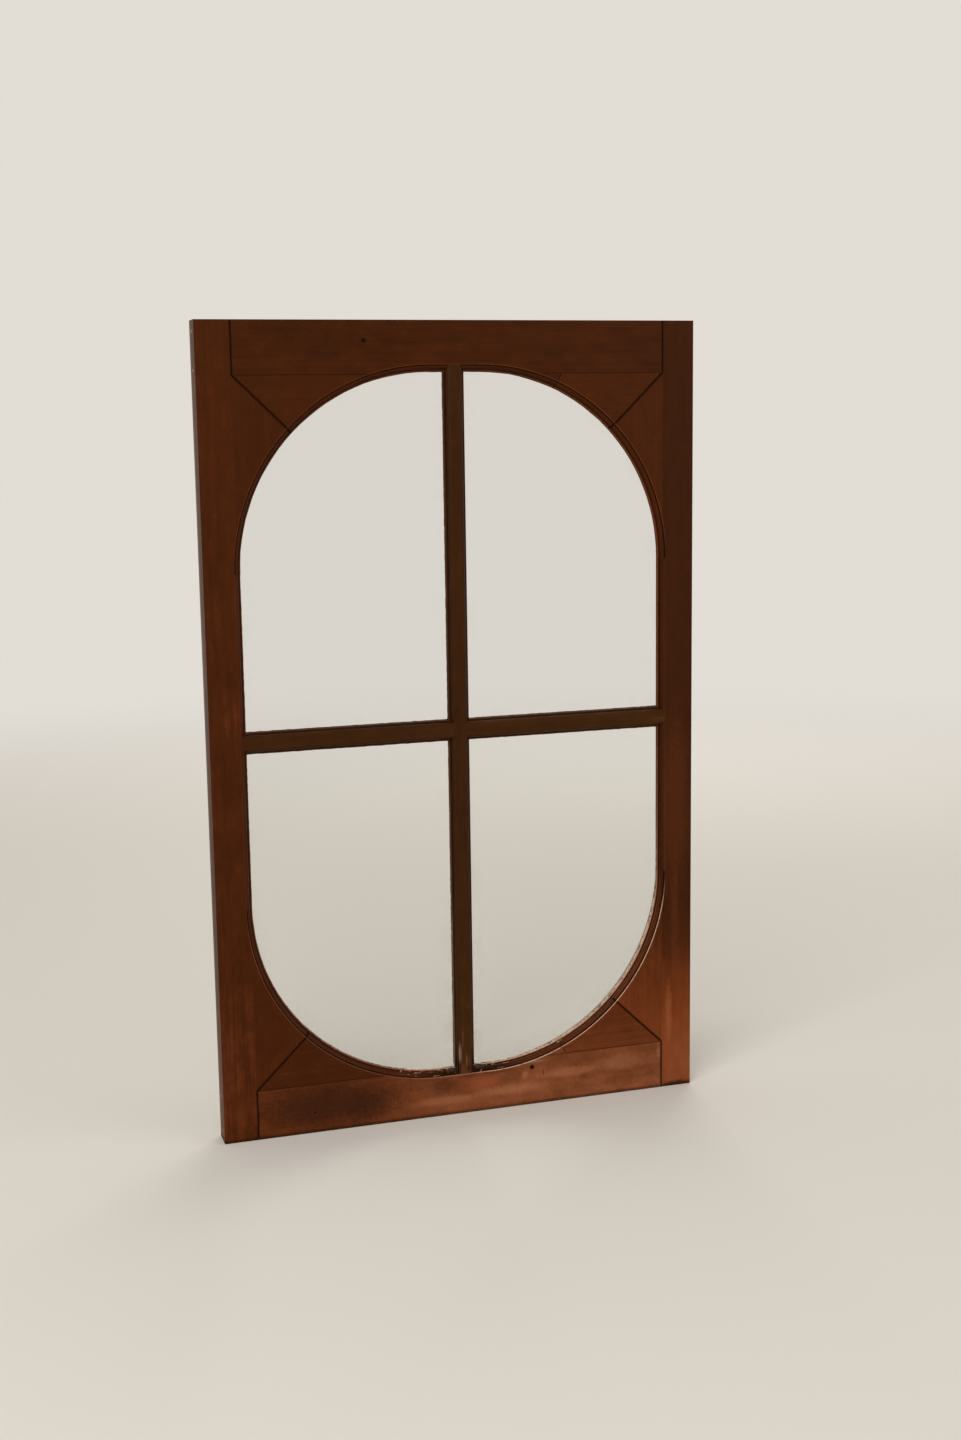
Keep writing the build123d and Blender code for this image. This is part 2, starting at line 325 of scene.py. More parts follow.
@dataclass(frozen=True)
class WindowLines:
    """Lines of the window that finishes and small pieces follow, in millimetres.

    Heights count from the middle of the opening and depths from the room face. The steps of the
    moulding count outwards from the sight line. A tip turn is how far round the corner a rail
    block ends, in degrees from level.
    """

    middle: float
    face: float
    depth: float
    sight_x: float
    seat_x: float
    rail_edge: float
    arc_z: float
    corner_radius: float = 253
    bar_half: float = 14
    fillet: float = 3
    fillet_depth: float = 7.5
    ovolo_foot: float = 6
    upper_fillet_start: float = 7
    upper_fillet_end: float = 8.5
    upper_fillet_depth: float = 2
    glass_front: float = 12
    rebate_depth: float = 11
    right_tip_turn: float = 66
    left_tip_turn: float = 77

    @classmethod
    def from_frame(cls) -> "WindowLines":
        """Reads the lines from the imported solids.

        Returns:
            The lines of this window.
        """
        stile_low, stile_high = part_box("right_stile")
        block_low, block_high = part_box("stile_block_bottom_right")
        middle = (stile_low.z + stile_high.z) / 2
        return cls(
            middle=middle * PER_METRE,
            face=stile_low.y * PER_METRE,
            depth=(stile_high.y - stile_low.y) * PER_METRE,
            sight_x=stile_low.x * PER_METRE,
            seat_x=block_high.x * PER_METRE,
            rail_edge=(middle - block_low.z) * PER_METRE,
            arc_z=(middle - block_high.z) * PER_METRE,
        )

    @property
    def arc_x(self) -> float:
        """How far the corners' centres lie from the upright middle line."""
        return self.sight_x - self.corner_radius

    @property
    def sight_z(self) -> float:
        """How far the crown of the opening lies from its middle."""
        return self.arc_z + self.corner_radius

    @property
    def mitre_angle(self) -> float:
        """Slope of the mitres between the corner blocks, in radians from level."""
        return math.atan2(self.rail_edge - self.arc_z, self.seat_x - self.arc_x)

    def sight_height(self, x: float) -> float:
        """Gives how far below the middle the sight line lies at a place across the window."""
        round_part = max(abs(x) - self.arc_x, 0)
        return self.arc_z + math.sqrt(self.corner_radius**2 - round_part**2)

    def sight_slope(self, x: float) -> float:
        """Gives the slope of the lower sight line there, in degrees, rising to the right."""
        return math.copysign(math.degrees(math.asin(max(abs(x) - self.arc_x, 0) / self.corner_radius)), x)

    def moulding_depth(self, offset: float) -> float:
        """Works out how deep the moulding's surface lies.

        Args:
            offset: Distance outwards from the sight line.

        Returns:
            Depth behind the room face.
        """
        if offset < self.fillet:
            return self.fillet_depth
        if offset < self.upper_fillet_start:
            climbed = (offset - self.fillet) / (self.upper_fillet_start - self.fillet)
            return self.ovolo_foot + (self.upper_fillet_depth - self.ovolo_foot) * climbed
        return self.upper_fillet_depth if offset < self.upper_fillet_end else 0.0

    def beyond_sight(self, bench: ShaderBench, x: Signal, up: Signal) -> Signal:
        """Works out, in a material, how far a point lies outwards from the opening's sight line.

        Args:
            bench: The material in the making.
            x: Place across the window.
            up: Height above the middle.

        Returns:
            The distance, below 0 over the glass.
        """
        side = abs(x) - self.arc_x
        end = abs(up) - self.arc_z
        round_part = bench.length(side.at_least(0), end.at_least(0))
        return round_part + side.at_least(end).at_most(0) - self.corner_radius

    def astride(self, side: Signal, end: Signal, angle: float) -> Signal:
        """Gives how far a point lies from the line through a corner's centre at this angle."""
        return (end - self.arc_z) * math.cos(angle) - (side - self.arc_x) * math.sin(angle)


@dataclass(frozen=True)
class TimberColours:
    """Tones of stained and varnished softwood, from its darkest grain to its bare fibres, with the colours
    of its painted shade.
    """

    deep: Colour = srgb(36, 13, 3)
    dark: Colour = srgb(66, 28, 6)
    warm: Colour = srgb(108, 51, 21)
    light: Colour = srgb(138, 71, 36)
    bleached: Colour = srgb(160, 96, 63)
    # painted shade of the moulding's sunk ovolo
    moulding: Colour = srgb(58, 27, 14)
    # bare timber, shown only where the worn lines are painted as sunlit
    bare: Colour = srgb(226, 184, 156)
    # dirt, and painted shadow in the moulding's hollow lines
    grime_and_shade: Colour = srgb(20, 9, 4)
    silvered: Colour = srgb(128, 108, 92)
    sheen: Colour = (1.0, 0.5, 0.22, 1.0)


@dataclass(frozen=True)
class Wear:
    """Where light, weather, hands and dirt have told on the window, in millimetres.

    A span runs from where its effect is nil to where it is full. A reach is how far dirt, wear and
    painted shadow spread from the line that they follow. Some spans place painted light and shade.
    Heights count from the middle of the opening where nothing else is said.
    """

    room_face: Span = (3, 1)
    # painted light: span over which pieces grow lighter towards the foot
    painted_light_above_foot: Span = (320, 40)
    faded_above_foot: Span = (120, 20)
    faded_across: Span = (-200, 90)
    # painted shade on the ovolo deepens down this span of height
    ovolo_shade_height: Span = (-250, -430)
    greyed_from_back: Span = (16, 3)
    # painted light: where the worn lines are painted sunlit rather than shaded
    sunlit_above: float = 40
    sunlit_round_curve: float = 60
    sunlit_across: Span = (-110, 20)
    # painted highlight: the arris lines are paler low on the right
    lit_wear_height: Span = (0, -250)
    lit_wear_across: Span = (8, 60)
    worn_round_curve: Span = (4, 60)
    dirty_foot: Span = (7, 1.5)
    bar_end_height: Span = (34, 2)
    bar_end_across: Span = (100, 22)
    bar_end_depth: Span = (0.3, 2.4)
    glue_line_inner_end: Span = (100, 128)
    glue_line_outer_end: Span = (294, 291)
    tip_joint_across: Span = (20, 40)
    # how far the painted shadow spreads from each hollow line
    quirk_reach: float = 1.6
    shoulder_reach: float = 2.8
    glue_line_reach: float = 1.2
    mitre_reach: float = 3.0
    tip_joint_reach: float = 1.2
    fillet_reach: float = 0.8
    arris_reach: float = 1.5


@dataclass(frozen=True)
class Pattern:
    """Cloudy noise that follows the fibres, in blobs per metre across and along them."""

    across: float
    along: float
    detail: float
    roughness: float


@dataclass(frozen=True)
class TimberPatterns:
    """The patterns that a timber's look is mixed from, the finest first."""

    fibres: Pattern = Pattern(560, 12, 3, 0.6)
    crumbs: Pattern = Pattern(170, 170, 4, 0.7)
    streaks: Pattern = Pattern(85, 3.2, 3, 0.55)
    mottle: Pattern = Pattern(70, 38, 4, 0.65)
    clouds: Pattern = Pattern(16, 9, 4, 0.6)
    wander: Pattern = Pattern(11, 1.5, 2, 0.5)


@dataclass(frozen=True)
class PointOnTimber:
    """What is known of a point on a timber while its material is worked out.

    Lengths are in millimetres, and the patterns run from 0 to 1.

    Attributes:
        bench: The material in the making.
        place: The point itself, in metres.
        x: Place across the window, from its upright middle line.
        z: Height above the window's foot.
        up: Height above the middle of the opening.
        depth: Depth behind the room face.
        offset: Distance outwards from the sight line that the piece's moulding follows.
        fibres: The finest pattern, of single fibres.
        crumbs: Grit, the same in all directions.
        streaks: Long streaks along the grain.
        mottle: Small soft patches.
        clouds: Wide soft patches.
    """

    bench: ShaderBench
    place: Signal
    x: Signal
    z: Signal
    up: Signal
    depth: Signal
    offset: Signal
    fibres: Signal
    crumbs: Signal
    streaks: Signal
    mottle: Signal
    clouds: Signal


@dataclass(frozen=True)
class Blemish:
    """A soft-edged mark on the room face, with its place and reach in millimetres."""

    place: tuple[float, float]
    reach: tuple[float, float]
    colour: Colour
    share: float
    streaky: bool = True


@dataclass(frozen=True)
class Knot:
    """A dark dead knot, round which the grain turns aside."""

    place: tuple[float, float]
    radius: float


@dataclass(frozen=True)
class Timber:
    """Old reddish-brown varnish on one piece of softwood.

    The pattern is worked out from where a point lies: its figure from the way the fibres run, its worn
    lines, grime and painted light and shade from the moulding's own section, and its dark joints from their
    lines.

    Attributes:
        shift: Moves the patterns, so that no two pieces look alike.
        tone: Lightens the piece above 0 and darkens it below; the pieces on the left and in the head are set
            darker as painted shade.
        lower_glow: How much lighter it is painted towards the foot, as painted light.
        pith_side: Where the heart of the tree lies across the fibres, in millimetres.
        pith_back: How far the heart lies behind the room face, in millimetres.
        bleach: How far the sun has taken its varnish, 0 to 1.
        contrast: How strongly its figure shows.
    """

    name: str
    grain: Grain
    edge: Edge
    lines: WindowLines
    shift: float
    tone: float
    lower_glow: float
    pith_side: float
    pith_back: float = 70.0
    bleach: float = 0.0
    contrast: float = 0.75
    blemishes: tuple[Blemish, ...] = ()
    knots: tuple[Knot, ...] = ()
    colours: TimberColours = TimberColours()
    wear: Wear = Wear()
    patterns: TimberPatterns = TimberPatterns()

    def material(self) -> bpy.types.Material:
        """Builds the material of this piece.

        Returns:
            The material.
        """
        bench = ShaderBench.for_material(self.name)
        point = self._point(bench)
        colours = self.colours
        rings = self._rings(point)
        room_side = bench.rise(point.depth, *self.wear.room_face)
        faded = self._faded(point) * room_side
        colour = bench.blend(faded, self._figure(point, rings), colours.bleached)
        for blemish in self.blemishes:
            colour = bench.blend(self._mark(point, blemish) * room_side, colour, blemish.colour)
        # painted shade in the moulding's ovolo, darkest low down
        colour = bench.blend(self._ovolo_shade(point), colour, colours.moulding)
        colour = bench.blend(self._weathered(point), colour, colours.silvered)
        # painted shadow in the moulding's hollow lines, with dirt on the joints and the foot
        grime_and_shade = self._grime_and_shade(point).at_least(self._dead_knots(point) * room_side)
        # wear and painted highlight along the sight edge and the arrises
        worn_and_highlit = self._worn_and_highlit(point)
        colour = bench.blend(grime_and_shade, colour, colours.grime_and_shade)
        # painted light: worn lines pale where painted sunlit, reddish where painted shaded
        bare_in_painted_light = bench.blend(self._painted_sunlight(point), colours.light, colours.bare)
        colour = bench.blend(worn_and_highlit, colour, bare_in_painted_light)

        roughness = 0.42 + (1 - point.fibres) * 0.16 + grime_and_shade * 0.3 + worn_and_highlit * 0.25 + faded * 0.14
        coat = (1 - grime_and_shade) * (1 - worn_and_highlit) * (1 - faded) * 0.05
        relief = point.fibres * 0.55 + rings * 0.3 + point.crumbs * grime_and_shade * 1.6
        relief = relief + point.clouds * 0.8 - worn_and_highlit * 0.5
        shader = bench.principled(
            Base_Color=colour,
            Roughness=roughness.at_most(0.92),
            Coat_Weight=coat.at_least(0),
            Coat_Roughness=0.3,
            Specular_IOR_Level=0.1,
            Specular_Tint=colours.sheen,
            Normal=bench.bump(relief, 0.55, 0.35),
        )
        return bench.surface(shader)

    def _point(self, bench: ShaderBench) -> PointOnTimber:
        """Gathers what the finish is worked out from.

        Args:
            bench: The material in the making.

        Returns:
            What is known of a point.
        """
        place = bench.place()
        x, y, z = bench.parts(place)
        up = z - self.lines.middle
        return PointOnTimber(
            bench=bench,
            place=place,
            x=x,
            z=z,
            up=up,
            depth=y - self.lines.face,
            offset=self._offset_from_sight(bench, x, up),
            fibres=self._noise(bench, place, self.patterns.fibres, self.shift),
            crumbs=self._noise(bench, place, self.patterns.crumbs, self.shift),
            streaks=self._noise(bench, place, self.patterns.streaks, self.shift),
            mottle=self._noise(bench, place, self.patterns.mottle, self.shift),
            clouds=self._noise(bench, place, self.patterns.clouds, self.shift),
        )

    def _noise(self, bench: ShaderBench, place: Signal, pattern: Pattern, shift: float) -> Signal:
        """Lays a pattern along the fibres.

        Args:
            bench: The material in the making.
            place: Where it is worked out, in metres.
            pattern: The pattern.
            shift: Moves the pattern along all three axes.

        Returns:
            The noise, 0 to 1.
        """
        across, along = pattern.across, pattern.along
        blobs = (across, across, along) if self.grain is Grain.UPRIGHT else (along, across, across)
        return bench.noise(place, blobs, shift, pattern.detail, pattern.roughness)

    def _offset_from_sight(self, bench: ShaderBench, x: Signal, up: Signal) -> Signal:
        """Works out the distance outwards from the sight line that the piece's moulding follows.

        Args:
            bench: The material in the making.
            x: Place across the window.
            up: Height above the middle.

        Returns:
            The distance, in millimetres.
        """
        if self.edge is Edge.UPRIGHT_BAR:
            return self.lines.bar_half - abs(x)
        if self.edge is Edge.CROSS_BAR:
            return self.lines.bar_half - abs(up)
        return self.lines.beyond_sight(bench, x, up)

    def _dead_knots(self, point: PointOnTimber) -> Signal:
        """Draws the dark round hearts of the knots.

        Args:
            point: What is known of the point.

        Returns:
            The share of dark, 0 to 1.
        """
        heart = point.x * 0
        for knot in self.knots:
            reach = point.bench.length(point.x - knot.place[0], point.up - knot.place[1])
            heart = heart.at_least(point.bench.rise(reach, knot.radius * 1.25, knot.radius * 0.8))
        return heart

    def _rings(self, point: PointOnTimber) -> Signal:
        """Draws the growth rings, which turn aside round the knots.

        Args:
            point: What is known of the point.

        Returns:
            The rings as narrow lines, 0 to 1.
        """
        bench = point.bench
        pull = point.x * 0
        for knot in self.knots:
            pull = pull.at_least(bench.spot(point.x, point.up, knot.place, knot.radius * 5))
        across = point.x if self.grain is Grain.UPRIGHT else point.up
        wander = self._noise(bench, point.place, self.patterns.wander, self.shift * 3)
        radius = bench.length(across - self.pith_side, point.depth - self.pith_back)
        wave = bench.maths("SINE", radius * 1.5 + wander * 30 + pull * 9)
        return ((wave + 1) * 0.5) ** 3

    def _figure(self, point: PointOnTimber, rings: Signal) -> Signal:
        """Colours the timber's figure under its varnish, lighter towards the foot as painted light.

        Args:
            point: What is known of the point.
            rings: The growth rings.

        Returns:
            The colour.
        """
        # painted light: lighter towards the foot
        glow = point.bench.rise(point.z, *self.wear.painted_light_above_foot) * self.lower_glow
        soft = point.streaks * 0.16 + point.clouds * 0.26 + point.mottle * 0.42
        spread = soft + point.fibres * 0.28 - rings * 0.05
        return point.bench.ramp(
            (spread - 0.54) * self.contrast + glow + (0.47 + self.tone),
            [
                (0.05, self.colours.deep),
                (0.35, self.colours.dark),
                (0.58, self.colours.warm),
                (0.86, self.colours.light),
            ],
        )

    def _faded(self, point: PointOnTimber) -> Signal:
        """Works out how far the sun has taken the varnish, most of all low down on the right.

        Args:
            point: What is known of the point.

        Returns:
            The share of faded colour, 0 to 1.
        """
        if not self.bleach:
            return point.clouds * 0
        bench = point.bench
        low = bench.rise(point.z, *self.wear.faded_above_foot)
        right = bench.rise(point.x, *self.wear.faded_across) * 0.9 + 0.1
        scuffs = bench.noise(point.place, (620, 620, 75), self.shift, 2, 0.6)
        patchy = bench.rise(scuffs * 0.18 + point.clouds * 0.5 + point.mottle * 0.35, 0.18, 0.84)
        return low * right * patchy * self.bleach

    def _mark(self, point: PointOnTimber, blemish: Blemish) -> Signal:
        """Draws one blemish.

        Args:
            point: What is known of the point.
            blemish: The blemish.

        Returns:
            The share of the blemish's colour, 0 to 1.
        """
        across = (point.x - blemish.place[0]) * (1 / blemish.reach[0])
        upward = (point.up - blemish.place[1]) * (1 / blemish.reach[1])
        ragged = point.bench.length(across, upward) + (point.crumbs - 0.5) * 0.9
        soft = point.bench.rise(ragged, 1.0, 0.25) * blemish.share
        return soft * (0.35 + point.streaks * 1.2).at_most(1) if blemish.streaky else soft

    def _ovolo_shade(self, point: PointOnTimber) -> Signal:
        """Works out the painted shade that darkens the moulding's sunk ovolo, most of all low down, with a
        painted highlight left along its crown.

        Args:
            point: What is known of the point.

        Returns:
            The share of the ovolo's painted shade colour, 0 to 1.
        """
        bench = point.bench
        lines = self.lines
        inside = bench.rise(point.offset, lines.upper_fillet_end + 0.2, lines.upper_fillet_end - 0.4)
        if self.edge is not Edge.OPENING:
            inside = bench.rise(point.offset, lines.upper_fillet_start + 0.3, lines.upper_fillet_start - 0.5)
        ovolo = bench.rise(point.offset, lines.fillet - 0.3, lines.fillet + 0.3) * inside
        # painted highlight along the ovolo's crown
        crown = bench.near(point.offset, lines.fillet + 1.9, 1.2) * 0.55
        low = bench.rise(point.up, *self.wear.ovolo_shade_height) * 0.75 + 0.25
        return ovolo * ((0.45 + point.streaks * 0.6) * low) * (1 - crown)

    def _weathered(self, point: PointOnTimber) -> Signal:
        """Works out how far the fibres of the weather side have turned grey.

        Args:
            point: What is known of the point.

        Returns:
            The share of grey, 0 to 1.
        """
        fibrous = point.fibres * 0.45 + point.streaks * 0.35 + point.clouds * 0.2
        washed = point.bench.rise(fibrous, 0.38, 0.62) * 0.65 + 0.2
        start, end = self.wear.greyed_from_back
        return point.bench.rise(point.depth, self.lines.depth - start, self.lines.depth - end) * washed

    def _painted_sunlight(self, point: PointOnTimber) -> Signal:
        """Works out where the worn lines are painted as sunlit: pale bare timber low down on the right, and
        reddish as painted shade elsewhere.

        Args:
            point: What is known of the point.

        Returns:
            The share of the painted sunlit colour, 0 to 1.
        """
        bench = point.bench
        curve = -self.lines.arc_z
        low = bench.rise(point.up, self.wear.sunlit_above, curve) * 0.3
        low = low + bench.rise(point.up, curve, curve - self.wear.sunlit_round_curve) * 0.7
        return low * (bench.rise(point.x, *self.wear.sunlit_across) * 0.85 + 0.15)

    def _grime_and_shade(self, point: PointOnTimber) -> Signal:
        """Lays all the dark marks on a piece: painted shadow in its moulding's hollow lines, and dirt along
        its joints and at its foot.

        Args:
            point: What is known of the point.

        Returns:
            The share of dirt and painted shadow, 0 to 1.
        """
        bench = point.bench
        foot = bench.rise(point.z, *self.wear.dirty_foot) * (0.2 + point.crumbs * 1.1)
        broken = bench.rise(point.crumbs, 0.30, 0.52)
        grime_and_shade = self._quirk_shadows(point) * (0.6 + broken * 0.4)
        grime_and_shade = grime_and_shade.at_least(self._joints(point)).at_least(foot * 0.85)
        return grime_and_shade.at_least(self._bar_end(point)).at_least(self._tip_joints(point)).at_most(1)

    def _quirk_shadows(self, point: PointOnTimber) -> Signal:
        """Lays painted shadow in the two hollow lines of the moulding, where their steps shade them.

        Args:
            point: What is known of the point.

        Returns:
            The share of painted shadow, 0 to 1.
        """
        bench = point.bench
        lines = self.lines
        # painted shadow where the fillet's step shades the hollow
        quirk = (lines.fillet, lines.fillet_depth)
        marks = bench.spot(point.offset, point.depth, quirk, self.wear.quirk_reach) * 0.95
        if self.edge is not Edge.OPENING:
            return marks
        # painted shadow under the upper fillet's step, on the curves
        quirk = (lines.upper_fillet_start + 0.7, lines.upper_fillet_depth)
        upper = bench.spot(point.offset, point.depth, quirk, self.wear.quirk_reach)
        curved = bench.rise(abs(point.up), lines.arc_z - 12, lines.arc_z + 8)
        return marks.at_least(upper * curved * 0.95)

    def _joints(self, point: PointOnTimber) -> Signal:
        """Lays the dirt along the shoulders, the glue lines and the mitres.

        Args:
            point: What is known of the point.

        Returns:
            The share of dirt, 0 to 1.
        """
        bench = point.bench
        lines = self.lines
        side = abs(point.x)
        end = abs(point.up)
        beyond = bench.rise(end, lines.rail_edge - 1.5, lines.rail_edge + 0.5)
        shoulder = bench.near(side, lines.seat_x - 0.35, self.wear.shoulder_reach) * beyond
        glue = bench.near(end, lines.rail_edge, self.wear.glue_line_reach)
        glue = glue * bench.rise(side, *self.wear.glue_line_inner_end)
        glue = glue * bench.rise(side, *self.wear.glue_line_outer_end)
        joints = (shoulder * 0.9).at_least(glue * 0.7)
        if self.edge is not Edge.OPENING:
            return joints
        angle = lines.mitre_angle
        along = (side - lines.arc_x) * math.cos(angle) + (end - lines.arc_z) * math.sin(angle)
        corner = math.hypot(lines.rail_edge - lines.arc_z, lines.seat_x - lines.arc_x)
        mitre = bench.near(lines.astride(side, end, angle), 0, self.wear.mitre_reach)
        mitre = mitre * bench.rise(along, corner + 1, corner - 1) * bench.rise(point.offset, -1, 1)
        return joints.at_least(mitre * 0.95)

    def _bar_end(self, point: PointOnTimber) -> Signal:
        """Lays the dirt that gathers round the foot of the upright bar.

        Args:
            point: What is known of the point.

        Returns:
            The share of dirt, 0 to 1.
        """
        bench = point.bench
        lines = self.lines
        low = bench.rise(point.up + lines.sight_z, *self.wear.bar_end_height)
        at_bar = bench.rise(abs(point.x), *self.wear.bar_end_across)
        in_front = bench.rise(point.depth, lines.glass_front + 1, lines.glass_front)
        behind_face = bench.rise(point.depth, *self.wear.bar_end_depth)
        clumps = bench.rise(point.crumbs + point.clouds * 0.4, 0.46, 0.66) * 0.65 + 0.35
        return low * at_bar * behind_face * in_front * clumps * 0.9

    def _tip_joints(self, point: PointOnTimber) -> Signal:
        """Lays the dirt in the joints where the rail blocks' tips meet the rail.

        Args:
            point: What is known of the point.

        Returns:
            The share of dirt, 0 to 1.
        """
        tips = point.x * 0
        if self.edge is not Edge.OPENING or self.grain is not Grain.LEVEL:
            return tips
        bench = point.bench
        lines = self.lines
        end = abs(point.up)
        for turn, way in ((lines.right_tip_turn, 1), (lines.left_tip_turn, -1)):
            astride = lines.astride(abs(point.x), end, math.radians(turn))
            joint = bench.near(astride, 0, self.wear.tip_joint_reach)
            tips = tips.at_least(joint * bench.rise(point.x * way, *self.wear.tip_joint_across))
        return tips * bench.rise(end, lines.rail_edge + 1, lines.rail_edge - 1) * 0.85

    def _worn_and_highlit(self, point: PointOnTimber) -> Signal:
        """Works out the pale lines along the sight edge and the arrises: partly wear through to bare timber,
        partly painted highlight, strongest low on the right.

        Args:
            point: What is known of the point.

        Returns:
            The share of the pale worn and painted highlight colour, 0 to 1.
        """
        bench = point.bench
        lines = self.lines
        # the pale sight edge is partly a painted highlight on the rebate's wall
        sight = bench.rise(point.offset, 0.5, 0.1)
        sight = sight * bench.rise(point.depth, lines.rebate_depth + 0.6, lines.rebate_depth - 1)
        corner = (lines.fillet, lines.ovolo_foot)
        fillet = bench.spot(point.offset, point.depth, corner, self.wear.fillet_reach)
        marks = (sight * (0.7 if self.edge is Edge.OPENING else 0.3)).at_least(fillet * 0.25)
        if self.edge is Edge.OPENING:
            corner = (lines.upper_fillet_end, 0)
            arris = bench.spot(point.offset, point.depth, corner, self.wear.arris_reach)
            # the weighting low on the right is painted highlight
            curved = bench.rise(abs(point.up) - lines.arc_z, *self.wear.worn_round_curve)
            low = bench.rise(point.up, *self.wear.lit_wear_height) * 0.6 + 0.25
            right = bench.rise(point.x, *self.wear.lit_wear_across) * 0.86 + 0.14
            marks = marks.at_least(arris * (curved * (low * right * 0.7 + 0.24) + 0.06))
        broken = bench.rise(point.crumbs, 0.34, 0.5)
        return (marks * (0.45 + broken * 0.55)).at_most(1)


@dataclass(frozen=True)
class EndGrainOak:
    """Bare, darkened end grain of the hardwood wedges."""

    name: str = "wedge_end_grain"
    pale: Colour = srgb(150, 112, 78)
    dark: Colour = srgb(92, 60, 38)

    def material(self) -> bpy.types.Material:
        """Builds the material.

        Returns:
            The material.
        """
        bench = ShaderBench.for_material(self.name)
        place = bench.place()
        pores = bench.noise(place, (300, 900, 900), 0, 3, 0.6)
        clouds = bench.noise(place, 60)
        colour = bench.ramp(pores * 0.7 + clouds * 0.3, [(0.32, self.dark), (0.62, self.pale)])
        shader = bench.principled(
            Base_Color=colour, Roughness=0.75 + clouds * 0.15, Normal=bench.bump(pores, 0.5, 0.2)
        )
        return bench.surface(shader)


@dataclass(frozen=True)
class OldPutty:
    """Linseed putty, dried out, cracked and greyed by the weather."""

    name: str
    shift: float
    pale: Colour = srgb(188, 176, 156)
    dark: Colour = srgb(122, 106, 88)
    crack: Colour = srgb(58, 46, 36)
    bend: float = 0.9
    cells: float = 95.0

    def material(self) -> bpy.types.Material:
        """Builds the material.

        Returns:
            The material.
        """
        bench = ShaderBench.for_material(self.name)
        place = bench.place()
        bent = bench.noise(place, 90, self.shift, 3)
        clouds = bench.noise(place, 22, self.shift, 4, 0.6)
        grit = bench.noise(place, 900, self.shift)
        cells = bench.stretched(place, self.cells, self.shift)
        sockets = {0: bent, 1: (self.bend,) * 3, 2: cells}
        warped = bench.node("ShaderNodeVectorMath", {"operation": "MULTIPLY_ADD"}, sockets)
        sockets = {"Vector": warped, "Scale": 1.0}
        cell_edge = bench.node("ShaderNodeTexVoronoi", {"feature": "DISTANCE_TO_EDGE"}, sockets)
        cracks = bench.rise(cell_edge, 0.05, 0.0) * bench.rise(clouds, 0.42, 0.58)
        colour = bench.ramp(clouds * 0.75 + grit * 0.25, [(0.34, self.dark), (0.62, self.pale)])
        shader = bench.principled(
            Base_Color=bench.blend(cracks, colour, self.crack),
            Roughness=0.78 + grit * 0.18,
            Normal=bench.bump(grit * 0.3 + clouds - cracks * 2, 0.6, 0.4),
        )
        return bench.surface(shader)


@dataclass(frozen=True)
class DullSteel:
    """Cut steel of the glazing sprigs, gone dull and rusty in places."""

    name: str = "sprig_dull_steel"
    steel: Colour = srgb(108, 102, 96)
    rust: Colour = srgb(104, 58, 34)

    def material(self) -> bpy.types.Material:
        """Builds the material.

        Returns:
            The material.
        """
        bench = ShaderBench.for_material(self.name)
        blotches = bench.noise(bench.place(), 420, 0, 3, 0.6)
        rusty = bench.rise(blotches, 0.42, 0.62)
        shader = bench.principled(
            Base_Color=bench.blend(rusty, self.steel, self.rust),
            Roughness=0.42 + rusty * 0.4,
            Metallic=0.9 - rusty * 0.8,
        )
        return bench.surface(shader)


@dataclass(frozen=True)
class WindowGlass:
    """Old drawn glass: clear, faintly wavy, with a film of dust towards its edges."""

    name: str
    lines: WindowLines
    shift: float
    film: Colour = srgb(196, 188, 170)
    clear: Colour = (0.985, 0.99, 0.985, 1)
    body: Colour = (0.02, 0.025, 0.022, 1)
    dusty_rim: float = 26.0

    def material(self) -> bpy.types.Material:
        """Builds the material.

        Returns:
            The material.
        """
        bench = ShaderBench.for_material(self.name)
        place = bench.place()
        dust = self._dust(bench, place)
        waves = bench.noise(place, (7, 7, 3), self.shift, 1)
        clear = bench.node("ShaderNodeBsdfTransparent", None, {"Color": self.clear})
        shine = bench.principled(
            Base_Color=self.body, Roughness=0.03, Specular_IOR_Level=1.0, Normal=bench.bump(waves, 0.25, 1.2)
        )
        film = bench.principled(Base_Color=self.film, Roughness=0.75)
        facing = bench.node("ShaderNodeLayerWeight", None, {"Blend": 0.5}, "Facing")
        gloss = 0.035 + facing**5 * 0.7
        glazed = bench.node("ShaderNodeMixShader", None, {0: gloss, 1: clear, 2: shine})
        return bench.surface(bench.node("ShaderNodeMixShader", None, {0: dust, 1: glazed, 2: film}))

    def _dust(self, bench: ShaderBench, place: Signal) -> Signal:
        """Lays the dust, which gathers along the edges and low down.

        Args:
            bench: The material in the making.
            place: Where it is worked out, in metres.

        Returns:
            The share of dust, 0 to 1.
        """
        x, _, z = bench.parts(place)
        up = z - self.lines.middle
        to_frame = 0 - self.lines.beyond_sight(bench, x, up)
        to_bars = abs(x).at_most(abs(up)) - self.lines.bar_half
        edge = bench.rise(to_frame.at_most(to_bars), self.dusty_rim, 0)
        clouds = bench.noise(place, 26, self.shift, 5, 0.65)
        specks = bench.noise(place, 520, self.shift)
        low = bench.rise(up, -150, -470)
        dust = 0.006 + edge * bench.rise(clouds, 0.45, 0.75) * 0.05
        dust = dust + bench.rise(specks, 0.70, 0.80) * 0.05
        return dust + low * edge * bench.rise(clouds, 0.40, 0.60) * 0.09


